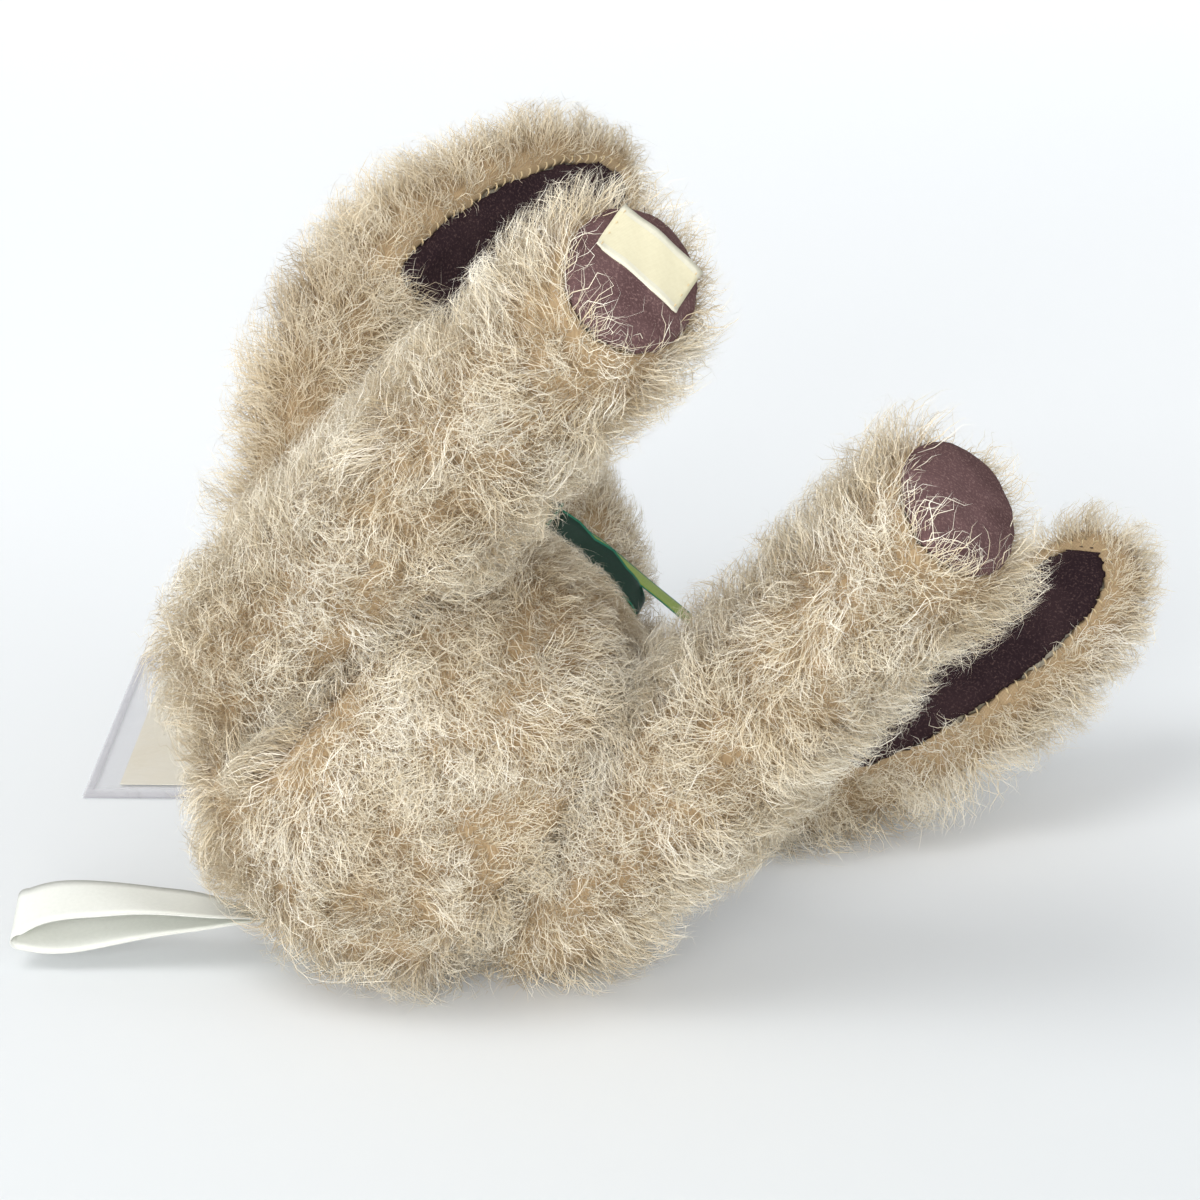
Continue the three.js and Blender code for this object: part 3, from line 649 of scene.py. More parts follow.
@dataclass(frozen=True)
class BrownGlass(Finish):
    """An eye of polished brown glass with a dark pupil, told apart by the eye's own map."""

    iris: Colour = srgb(74, 40, 20)
    pupil: Colour = srgb(10, 8, 8)
    outer: Colour = srgb(52, 28, 16)
    rim: Colour = srgb(24, 15, 11)
    uv_map: str = "Eye"

    def wire(self, wiring: Wiring) -> None:
        """Darkens the glass towards its pupil and its rim."""
        out = wiring.parts(wiring.place(self.uv_map))[0]
        colour = wiring.ramp(out, [
            (0.0, self.pupil), (0.26, self.pupil), (0.32, self.iris), (0.6, self.outer), (1.0, self.rim),
        ])
        wiring.shade({"Base Color": colour, "Coat Weight": 1.0, "Coat Roughness": 0.03})


@dataclass(frozen=True)
class ClearFilm(Finish):
    """Thin clear film, seen by its gloss, its creases and its milky welds."""

    tint: Colour = srgb(222, 220, 225)
    body: float = 0.17
    weld: float = 0.5
    uv_map: str = "Film"

    def wire(self, wiring: Wiring) -> None:
        """Lets most light through, less at the welded edges."""
        parts = wiring.parts(wiring.place(self.uv_map))
        reach = wiring.maths("MAXIMUM", *(wiring.maths("ABSOLUTE", part) for part in parts[:2]))
        stops = [(0.9, (self.body,) * 3 + (1,)), (0.93, (self.weld,) * 3 + (1,))]
        wiring.shade({"Base Color": self.tint, "Alpha": wiring.ramp(reach, stops)})
        wiring.bump(wiring.noise(wiring.place(), 60.0, 3.0, Distortion=1.5), 0.002, 0.5)


@dataclass(frozen=True)
class BrushedSteel(Finish):
    """Stamped steel with fine drawn lines and dull spots."""

    bright: Colour = srgb(196, 198, 202)
    dull: Colour = srgb(140, 138, 134)

    def wire(self, wiring: Wiring) -> None:
        """Varies the steel's colour and gloss."""
        stretched = wiring.add("ShaderNodeMapping", {0: wiring.place(), 3: (1.0, 1.0, 12.0)})
        lines = wiring.noise(stretched.outputs[0], 700.0, 3.0)
        wiring.shade({
            "Base Color": wiring.ramp(lines, [(0.35, self.dull), (0.6, self.bright)]),
            "Roughness": wiring.maths("MULTIPLY_ADD", lines, 0.3, 0.2),
        })
        wiring.bump(lines, 0.00005, 0.3)


STRANDS = MohairStrands("mohair_strands", roughness=0.5, sheen=0.12, specular=0.4)
# In each woven cloth below, shade is the thread's colour in painted shade.
BACKING = WovenCloth(
    "mohair_backing", roughness=0.95, thread=srgb(188, 164, 128), shade=srgb(156, 131, 98),
    per_metre=900.0,
)
FOOT_FELT = MattedFibres("felt_of_the_feet", roughness=1.0, specular=0.05)
# The paws' felt is a darker copy of the feet's felt: painted shade.
PAW_FELT_IN_PAINTED_SHADE = MattedFibres(
    "felt_of_the_paws_in_painted_shade", roughness=1.0, specular=0.05,
    ground=srgb(44, 32, 36), speck=srgb(88, 70, 68), worn=srgb(54, 40, 43),
)
FILLING = MattedFibres(
    "loose_filling", ground=srgb(214, 206, 186), speck=srgb(240, 236, 224), worn=srgb(190, 178, 150),
    per_metre=420.0, depth=0.001,
)
BOARD = MattedFibres(
    "pressed_board", roughness=0.85, ground=srgb(150, 116, 78), speck=srgb(186, 156, 112),
    worn=srgb(128, 98, 66), per_metre=900.0, depth=0.0001,
)
CARD = MattedFibres(
    "plain_card", roughness=0.7, ground=srgb(240, 234, 216), speck=srgb(246, 240, 226),
    worn=srgb(236, 228, 206), per_metre=1200.0, depth=0.00003,
)
STEEL = BrushedSteel("plain_steel", metallic=1.0, roughness=0.3)
GLASS = BrownGlass("brown_glass", roughness=0.06)
FILM = ClearFilm("clear_film", roughness=0.12)
FLOSS = WovenCloth(
    "brown_floss", roughness=0.6, sheen=0.2, thread=srgb(74, 46, 36), shade=srgb(40, 24, 20),
    per_metre=1400.0,
)
CREAM_FLOSS = WovenCloth(
    "cream_floss", roughness=0.6, sheen=0.2, thread=srgb(232, 212, 168), shade=srgb(190, 164, 118),
    per_metre=1400.0,
)
RIBBON = WovenCloth(
    "green_ribbon", roughness=0.5, specular=0.35, thread=srgb(20, 62, 46),
    shade=srgb(6, 28, 20), edge=srgb(40, 126, 98), edge_share=0.0044, reverse=srgb(148, 170, 72),
    uv_map=CLOTH_UV, per_metre=2600.0,
)
WHITE_TAPE = WovenCloth(
    "white_tape", roughness=0.6, specular=0.4, thread=srgb(238, 239, 232), shade=srgb(216, 218, 210),
    edge=srgb(230, 231, 224), edge_share=0.0086, uv_map=CLOTH_UV, per_metre=2000.0,
)
CREAM_TAPE = WovenCloth(
    "cream_tape", roughness=0.75, thread=srgb(236, 230, 200), shade=srgb(214, 206, 172),
    edge=srgb(240, 236, 214), edge_share=0.0072, uv_map=CLOTH_UV, per_metre=1800.0,
)


# Stuffed forms


@dataclass
class StuffedForm:
    """A mohair skin over its filling: the woven backing, which the pile grows from.

    Attributes:
        stem: the start of its nodes' names, such as left_leg.
        body: the body that it rides on.
        backing: the backing, once it is made.
    """

    stem: str
    body: str
    backing: Piece | None = None

    skin_voxel = 0.0030
    filling_voxel = 0.0040
    outside = 0.0024

    def build(self) -> None:
        """Makes the backing and the filling, and dresses both."""
        skin = f"{self.stem}_skin"
        self.backing = softened_copy(skin, f"{self.stem}_backing", self.skin_voxel, 3)
        for vertex in self.backing.data.vertices:
            vertex.co.z = max(vertex.co.z, 0.0)
        BACKING.dress(self.backing, "mohair", self.body, skin)
        stuffing = f"{self.stem}_stuffing"
        filling = softened_copy(stuffing, f"{self.stem}_filling", self.filling_voxel, 2)
        FILLING.dress(filling, "filling", self.body, stuffing)
        log.info("%s: backing of %d faces", self.stem, len(self.backing.data.polygons))

    def outer_triangles(self) -> tuple[Points, Points, np.ndarray]:
        """Finds the triangles on the backing's outer side.

        Returns:
            The backing's points, their normals, and the corners of the outer triangles.
        """
        points, normals, corners = mesh_arrays(self.backing)
        inner = surface_of([f"{self.stem}_stuffing"])
        middles = points[corners].mean(axis=1)
        keep = [inner.find_nearest(Vector(middle), self.outside)[0] is None for middle in middles]
        return points, normals, corners[np.array(keep)]


class Ear(StuffedForm):
    """A flat, stuffed ear, furred all over."""

    skin_voxel = 0.0016

    def build(self) -> None:
        """Makes the ear's backing, which is its skin and its filling in one."""
        self.backing = softened_copy(self.stem, f"{self.stem}_backing", self.skin_voxel, 2)
        BACKING.dress(self.backing, "mohair", self.body, self.stem)

    def outer_triangles(self) -> tuple[Points, Points, np.ndarray]:
        """Gives all of the ear's triangles, because the whole of it shows."""
        return mesh_arrays(self.backing)


# Pile


@dataclass(frozen=True)
class Pile:
    """How a stretch of mohair is cut and brushed. Lengths are in metres, angles in radians."""

    length: float = 0.0200
    top: float = 0.0110
    width: float = 0.00024
    roots_per_mm2: float = 0.73
    steps: int = 5
    lock_size: float = 0.0046
    root_lean: float = 0.30
    tip_lean: float = 1.35
    turn: float = 1.5
    wave: float = 0.85
    gather: float = 0.34
    stray_share: float = 0.24
    tousle: float = 0.9
    own_way: float = 0.42
    beside_bare: float = 0.3
    parted: bool = False
    tone: float = 0.0

    def under(self) -> "Pile":
        """The short, matted pile beneath: few faces to a strand, and lying every way."""
        return replace(
            self, length=self.length * 0.55, width=0.00034, roots_per_mm2=0.40, steps=3, own_way=1.6,
            gather=0.0, stray_share=0.0, tip_lean=1.2, wave=0.6,
        )


@dataclass(frozen=True)
class Roots:
    """Where the strands stand, which lock each is in, and what its place does to it."""

    at: Points
    facing: Points
    heading: Points
    lock: np.ndarray
    length_share: np.ndarray
    pressed: np.ndarray


@dataclass(frozen=True)
class Locks:
    """The curly locks, each with a way, turn, lean, length, wave and tone of its own."""

    centres: Points
    swirl: np.ndarray
    turn: np.ndarray
    lean: np.ndarray
    length: np.ndarray
    phase: np.ndarray
    tone: np.ndarray


@dataclass
class FurCoat:
    """Pile for one form: flat, tapering strands gathered in curly locks.

    Attributes:
        form: the form that carries it.
        pile: how it is cut.
        comb: the way that it is brushed, at each of an array of points.
        around: the other pieces, which press it short.
        bare: pieces that it keeps clear of, such as eyes.
        seed: which random coat.
        grade: a share of the pile's length at each of an array of points.
    """

    form: StuffedForm
    pile: Pile
    comb: Callable[[Points], Points]
    around: BVHTree
    bare: BVHTree | None = None
    seed: int = 1
    grade: Callable[[Points], np.ndarray] | None = None

    most_triangles = 190000
    floor = 0.0005
    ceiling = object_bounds()[1].z + 0.0145
    give = 0.004
    parting = 0.014
    pressed_within = 0.0025
    clear_of_bare = 0.0012
    shorter_within = 0.016
    sunk = 0.0012
    least_share = 0.22
    kept_pressed = 0.4
    kept_underneath = 0.5
    near_floor = 0.03
    touching_floor = 0.0012

    def __post_init__(self) -> None:
        """Starts the coat's random draws."""
        self.rng = np.random.default_rng(self.seed)

    def scatter(self, per_mm2: float) -> tuple[Points, Points]:
        """Scatters roots evenly over the form's outer side.

        Args:
            per_mm2: how many there are to a square millimetre.

        Returns:
            The roots and their normals.
        """
        points, normals, corners = self.form.outer_triangles()
        a, b, c = (points[corners[:, k]] for k in range(3))
        areas = np.linalg.norm(np.cross(b - a, c - a), axis=1) / 2
        count = int(areas.sum() * 1e6 * per_mm2)
        chosen = self.rng.choice(len(corners), size=count, p=areas / areas.sum())
        first = self.rng.random(count)
        second = self.rng.random(count)
        over = first + second > 1
        first[over], second[over] = 1 - first[over], 1 - second[over]
        shares = np.stack([1 - first - second, first, second], axis=1)
        roots = (points[corners[chosen]] * shares[:, :, None]).sum(axis=1)
        facing = unit((normals[corners[chosen]] * shares[:, :, None]).sum(axis=1))
        return roots, facing

    def room(self, roots: Points, facing: Points) -> np.ndarray:
        """How far the pile can stand at each root before it meets another piece.

        Args:
            roots: where it grows.
            facing: the surface's normals there.

        Returns:
            The free height, at most the pile's own length.
        """
        reach = self.pile.length
        free = np.full(len(roots), reach)
        for i, (root, normal) in enumerate(zip(roots, facing)):
            hit = self.around.ray_cast(Vector(root) + Vector(normal) * 0.0002, Vector(normal), reach)
            if hit[0] is not None:
                free[i] = hit[3]
        return free

    def rooted(self, centres: Points, free: np.ndarray) -> Roots:
        """Stands the strands in their locks, fewer and shorter where something presses on them.

        Args:
            centres: the locks' places.
            free: the room over each lock.

        Returns:
            The roots that are kept.
        """
        pile, rng = self.pile, self.rng
        tree = KDTree(len(centres))
        for i, centre in enumerate(centres):
            tree.insert(centre, i)
        tree.balance()
        roots, facing = self.scatter(pile.roots_per_mm2)
        lock = np.array([tree.find(root)[1] for root in roots])
        pressed = free[lock] < self.pressed_within
        keep = ~pressed | (rng.random(len(roots)) < self.kept_pressed)
        underneath = (roots[:, 2] < self.near_floor) & (facing[:, 2] < -0.45)
        keep &= ~underneath | (rng.random(len(roots)) < self.kept_underneath)
        keep &= ~((roots[:, 2] < self.touching_floor) & (facing[:, 2] < -0.8))
        length_share = np.clip(free[lock] / pile.length * 1.5, self.least_share, 1.0)
        if self.grade is not None:
            length_share *= self.grade(roots)
        heading = self.comb(roots)
        if self.bare is not None:
            from_bare = self.from_bare(roots)
            away = np.linalg.norm(from_bare, axis=1)
            keep &= away > self.clear_of_bare
            length_share *= np.clip(pile.beside_bare + away / self.shorter_within, 0.0, 1.0)
            if pile.parted:
                share = np.clip(1.25 - away / self.parting, 0.0, 1.0)[:, None]
                heading = unit(heading * (1 - share) + unit(from_bare) * 1.5 * share)
        heading = heading[keep]
        facing = facing[keep]
        heading = unit(heading - facing * (heading * facing).sum(axis=1, keepdims=True))
        return Roots(roots[keep], facing, heading, lock[keep], length_share[keep], pressed[keep])

    def locks(self, centres: Points) -> Locks:
        """Gives each lock its own way, turn and length, a little like its neighbours'."""
        pile, rng, count = self.pile, self.rng, len(centres)

        def patches(size: float, number: int) -> np.ndarray:
            """A field over the locks."""
            return ripples(centres, size, self.seed + number)

        swirl = 1.0 * patches(0.030, 11) + 0.8 * patches(0.012, 12) + rng.normal(0, 0.45, count)
        return Locks(
            centres=centres,
            swirl=pile.tousle * swirl,
            turn=pile.turn * (patches(0.011, 13) + rng.normal(0, 0.6, count)),
            lean=rng.normal(0, 0.14, count) + 0.14 * patches(0.02, 14),
            length=np.clip(1 + 0.16 * patches(0.018, 15) + rng.normal(0, 0.1, count), 0.6, 1.3),
            phase=rng.uniform(0, math.tau, count),
            tone=0.17 * patches(0.022, 16) + rng.normal(0, 0.12, count),
        )

    def strides(self, roots: Roots, locks: Locks, stray: np.ndarray) -> np.ndarray:
        """Works out each strand's steps from its root to its tip.

        Args:
            roots: where the strands stand.
            locks: the locks that they belong to.
            stray: which strands leave their lock.

        Returns:
            The steps, as vectors.
        """
        pile, rng, count, lock = self.pile, self.rng, len(roots.at), roots.lock
        own = np.where(stray, 1.0, 0.28)
        aside = np.cross(roots.facing, roots.heading)
        way = locks.swirl[lock] + rng.normal(0, pile.own_way, count) * np.where(stray, 1.6, 0.6)
        turn = locks.turn[lock] + rng.normal(0, 1.1, count) * own
        tip_lean = pile.tip_lean + locks.lean[lock] + rng.normal(0, 0.22, count) * own - 0.35 * stray
        tip_lean = np.where(roots.pressed, 1.5, tip_lean)
        root_lean = np.where(roots.pressed, 1.1, pile.root_lean + rng.uniform(-0.1, 0.35, count))
        length = pile.length * locks.length[lock] * roots.length_share * rng.uniform(0.75, 1.12, count)
        length = np.where(stray, length * rng.uniform(0.9, 1.35, count), length)
        phase = locks.phase[lock] + rng.normal(0, 0.9, count)
        waves = rng.uniform(0.8, 1.7, count)

        shares = (np.arange(pile.steps) + 0.5) / pile.steps
        wave = math.tau * waves[:, None] * shares + phase[:, None]
        lean = root_lean[:, None] + (tip_lean - root_lean)[:, None] * shares
        lean = (lean + 0.3 * pile.wave * np.cos(wave))[..., None]
        angle = (way[:, None] + turn[:, None] * shares ** 1.4 + pile.wave * np.sin(wave))[..., None]
        along = np.cos(angle) * roots.heading[:, None] + np.sin(angle) * aside[:, None]
        steps = np.cos(lean) * roots.facing[:, None] + np.sin(lean) * along
        return steps * (length / pile.steps)[:, None, None]

    def settled(self, roots: Roots, locks: Locks, stray: np.ndarray) -> np.ndarray:
        """Gathers the strands to their locks, and keeps them within the pile's height and the box.

        Args:
            roots: where the strands stand.
            locks: the locks that they belong to.
            stray: which strands leave their lock.

        Returns:
            Each strand's points.
        """
        pile, facing = self.pile, roots.facing
        strides = self.strides(roots, locks, stray)
        start = (roots.at - facing * self.sunk)[:, None]
        paths = np.concatenate([start, start + np.cumsum(strides, axis=1)], axis=1)
        marks = np.linspace(0, 1, pile.steps + 1)
        pull = (locks.centres[roots.lock] - roots.at) * np.where(stray, 0.0, pile.gather)[:, None]
        pull -= facing * (pull * facing).sum(axis=1, keepdims=True)
        paths += pull[:, None] * (marks ** 1.3)[None, :, None]
        height = ((paths - start) * facing[:, None]).sum(axis=-1)
        over = np.maximum(height - (pile.top * roots.length_share)[:, None], 0.0)
        paths -= facing[:, None] * (over * 0.7)[..., None]
        room_above = self.ceiling - self.give
        over = np.maximum(paths[..., 2] - room_above, 0.0)
        paths[..., 2] = np.minimum(paths[..., 2], room_above) + self.give * np.tanh(over / self.give)
        low = paths[..., 2] < self.floor
        on_floor = self.floor + 0.0006 * self.rng.random(paths.shape[:2])
        paths[..., 2] = np.where(low, on_floor, paths[..., 2])
        return paths

    def grow(self) -> tuple[np.ndarray, np.ndarray, np.ndarray]:
        """Grows every strand.

        Returns:
            The strands' points, their width directions times their half widths, and their tones.
        """
        pile, rng = self.pile, self.rng
        centres, centre_facing = self.scatter(1e-6 / pile.lock_size ** 2)
        roots = self.rooted(centres, self.room(centres, centre_facing))
        locks = self.locks(centres)
        count = len(roots.at)
        stray = rng.random(count) < pile.stray_share
        paths = self.settled(roots, locks, stray)

        tangents = unit(np.gradient(paths, axis=1))
        flat = unit(np.cross(tangents, roots.facing[:, None] + 1e-4))
        roll = rng.normal(0, 0.6, count)[:, None, None]
        flat = flat * np.cos(roll) + np.cross(tangents, flat) * np.sin(roll)
        taper = np.sqrt(np.maximum(1 - np.linspace(0, 1, pile.steps + 1) ** 2, 0.0))
        width = pile.width * rng.uniform(0.6, 1.15, count) * np.where(stray, 0.5, 1.0)
        halves = flat * (width / 2)[:, None, None] * taper[None, :, None]
        # Stray strands are paler: painted light through the fringe that they make.
        tone = 0.5 + pile.tone + locks.tone[roots.lock] + rng.normal(0, 0.18, count) + 0.16 * stray
        return paths, halves, np.clip(tone, 0.03, 0.97)

    def from_bare(self, roots: Points) -> Points:
        """The way and the distance to each root from what the pile keeps clear of."""
        reach = 0.03
        found = [self.bare.find_nearest(Vector(root), reach)[0] for root in roots]
        return np.array([
            np.full(3, reach) if near is None else root - np.array(near)
            for root, near in zip(roots, found)
        ])

    def build(self, name: str) -> None:
        """Makes the coat's pieces, each of at most most_triangles triangles.

        Args:
            name: the start of the pieces' names.
        """
        paths, halves, tone = self.grow()
        order = np.argsort(paths[:, 0, 1])
        faces = 2 * self.pile.steps - 1
        parts = max(1, math.ceil(len(order) * faces / self.most_triangles))
        for number, chosen in enumerate(np.array_split(order, parts)):
            label = name if parts == 1 else f"{name}_{number + 1}"
            piece = self.ribbons(label, paths[chosen], halves[chosen], tone[chosen])
            STRANDS.dress(piece, "mohair", self.form.body)
        log.info("%s: %d strands in %d pieces", name, len(order), parts)

    def ribbons(self, name: str, paths: Points, halves: Points, tone: np.ndarray) -> Piece:
        """Makes strands into one mesh of flat ribbons that end in a point.

        Args:
            name: the piece's name.
            paths: each strand's points.
            halves: half of each strand's width, as vectors.
            tone: each strand's tone, 0 to 1.

        Returns:
            The piece, with a map that holds each strand's tone and the way along it.
        """
        count, steps = len(paths), self.pile.steps
        per = 2 * steps + 1
        vertices = np.empty((count, per, 3))
        vertices[:, 0:2 * steps:2] = paths[:, :steps] - halves[:, :steps]
        vertices[:, 1:2 * steps:2] = paths[:, :steps] + halves[:, :steps]
        vertices[:, -1] = paths[:, steps]
        corners = []
        for k in range(steps - 1):
            corners += [2 * k, 2 * k + 1, 2 * k + 3, 2 * k + 2]
        corners += [2 * steps - 2, 2 * steps - 1, 2 * steps]
        sizes = np.array([4] * (steps - 1) + [3])
        per_loop = np.array(corners)
        starts = np.concatenate([[0], np.cumsum(sizes)[:-1]])
        loops = (np.arange(count) * per)[:, None] + per_loop
        loop_starts = (np.arange(count) * len(per_loop))[:, None] + starts
        mesh = bpy.data.meshes.new(name)
        mesh.vertices.add(count * per)
        mesh.vertices.foreach_set("co", vertices.astype(np.float32).ravel())
        mesh.loops.add(loops.size)
        mesh.loops.foreach_set("vertex_index", loops.astype(np.int32).ravel())
        mesh.polygons.add(count * steps)
        mesh.polygons.foreach_set("loop_start", loop_starts.astype(np.int32).ravel())
        mesh.polygons.foreach_set("use_smooth", np.ones(count * steps, bool))
        layer = mesh.uv_layers.new(name=STRAND_UV)
        edge = np.array([-0.004 if c % 2 == 0 else 0.004 for c in range(per - 1)] + [0.0])
        share = np.array([k / steps for k in range(steps) for _ in range(2)] + [1.0])
        across = tone[:, None] + edge[per_loop][None]
        along = np.broadcast_to(0.02 + 0.96 * share[per_loop][None], across.shape)
        layer.data.foreach_set("uv", np.stack([across, along], axis=-1).astype(np.float32).ravel())
        mesh.update()
        mesh.validate()
        return linked(name, mesh)


# Felt pads and their stitches


def outline_of(node: str, inside: BVHTree, clear: float) -> list[Vector]:
    """Finds the edge of a pad's outer face.

    Args:
        node: the pad's frame node.
        inside: the surface that the pad lies over.
        clear: a face further than this from that surface is on the outer side.

    Returns:
        The edge's points, in order round the pad.
    """
    mesh = bmesh.new()
    mesh.from_mesh(frame["nodes"][node].data)
    bmesh.ops.remove_doubles(mesh, verts=mesh.verts, dist=MERGE_WITHIN)
    outer = set()
    for face in mesh.faces:
        middle = face.calc_center_median()
        near = inside.find_nearest(middle)
        if near[3] > clear and face.normal.dot((middle - near[0]).normalized()) > 0.55:
            outer.add(face)
    follow: dict = {}
    for edge in mesh.edges:
        if sum(face in outer for face in edge.link_faces) == 1:
            for vertex in edge.verts:
                follow.setdefault(vertex, []).append(edge.other_vert(vertex))
    best: list[Vector] = []
    unseen = dict.fromkeys(follow)
    while unseen:
        here, _ = unseen.popitem()
        loop = [here.co.copy()]
        while True:
            ahead = [v for v in follow[here] if v in unseen]
            if not ahead:
                break
            here = ahead[0]
            del unseen[here]
            loop.append(here.co.copy())
        if len(loop) > len(best):
            best = loop
    mesh.free()
    return best


def spaced(loop: Sequence[Vector], spacing: float) -> list[tuple[Vector, Vector]]:
    """Walks round a closed line at even steps.

    Args:
        loop: the line's points.
        spacing: about how long a step is.

    Returns:
        The place and the direction at each step.
    """
    ends = list(loop) + [loop[0]]
    lengths = [(b - a).length for a, b in zip(ends, ends[1:])]
    total = sum(lengths)
    count = max(3, round(total / spacing))
    places = []
    walked, index = 0.0, 0
    for step in range(count):
        target = total * step / count
        while walked + lengths[index] < target:
            walked += lengths[index]
            index += 1
        share = (target - walked) / max(lengths[index], 1e-9)
        a, b = ends[index], ends[index + 1]
        places.append((a.lerp(b, share), (b - a).normalized()))
    return places


def thread_bar(name: str, points: Sequence[Vector], radius: float, sides: int = 6) -> Piece:
    """Makes a thread: a round bar along some points, drawn in at both ends.

    Args:
        name: the piece's name.
        points: its centreline.
        radius: its radius in the middle.
        sides: how many sides it has.

    Returns:
        The closed bar.
    """
    rings: list[Vector] = []
    count = len(points)
    for i, point in enumerate(points):
        before, after = points[max(i - 1, 0)], points[min(i + 1, count - 1)]
        along = (after - before).normalized()
        across = along.orthogonal().normalized()
        other = along.cross(across)
        reach = radius * (0.45 if i in (0, count - 1) else 1.0)
        for k in range(sides):
            angle = math.tau * k / sides
            rings.append(point + (across * math.cos(angle) + other * math.sin(angle)) * reach)
    faces = [tuple(reversed(range(sides))), tuple(range((count - 1) * sides, count * sides))]
    for i in range(count - 1):
        for k in range(sides):
            ahead = (k + 1) % sides
            faces.append((i * sides + k, i * sides + ahead, (i + 1) * sides + ahead, (i + 1) * sides + k))
    piece = new_piece(name, rings, faces)
    mesh = bmesh.new()
    mesh.from_mesh(piece.data)
    bmesh.ops.recalc_face_normals(mesh, faces=mesh.faces)
    mesh.to_mesh(piece.data)
    mesh.free()
    return piece


class FeltPad:
    """A felt pad let into a limb, softly domed."""

    voxel = 0.0011

    def __init__(self, side: Side, limb: Limb) -> None:
        """Takes the limb that the pad is on."""
        self.side = side
        self.limb = limb
        self.node = f"{side.value}_{limb.pad}"
        self.body = f"{side.value}_{limb.word}"

    def build(self) -> None:
        """Makes the pad, with the slight unevenness of felt over stuffing."""
        is_sole = self.limb is Limb.LEG
        piece = softened_copy(self.node, f"{self.node}_felt", self.voxel, 16 if is_sole else 4)
        points, normals, _ = mesh_arrays(piece)
        seed = 40 + len(self.node)
        plump = 0.0007 if is_sole else 0.0001
        lift = plump + 0.00012 * ripples(points, 0.007, seed) + 0.00005 * ripples(points, 0.003, seed + 1)
        piece.data.vertices.foreach_set("co", (points + normals * lift[:, None]).ravel())
        # The paws take the darker felt, painted shade.
        felt, slot = (FOOT_FELT, "foot_felt") if is_sole else (PAW_FELT_IN_PAINTED_SHADE, "paw_felt")
        felt.dress(piece, slot, self.body, self.node)
        if not is_sole:
            self.overcast()

    def overcast(self) -> None:
        """Sews the pad to the mohair with slanting cream stitches round its edge."""
        spacing, reach, radius = 0.0040, 0.0013, 0.00028
        shares = [-1.0, -0.5, 0.4, 1.0]
        lifts = [0.0006, 0.0024, 0.0028, 0.0014]
        inside = surface_of([f"{self.side.value}_arm_stuffing"])
        loop = outline_of(self.node, inside, 0.0012)
        middle = sum(loop, Vector()) / len(loop)
        stitches = []
        for number, (place, along) in enumerate(spaced(loop, spacing)):
            near = inside.find_nearest(place)
            out = (place - near[0]).normalized()
            across = along.cross(out).normalized()
            if across.dot(place - middle) < 0:
                across.negate()
            slant = (across + along * 0.45).normalized()
            line = [place + slant * (reach * share) + out * lift for share, lift in zip(shares, lifts)]
            stitches.append(thread_bar(f"stitch_{number}", line, radius))
        piece = joined(f"{self.node}_stitches", stitches)
        CREAM_FLOSS.dress(piece, "floss", self.body)
        log.info("%s: %d stitches", self.node, len(stitches))


# Face


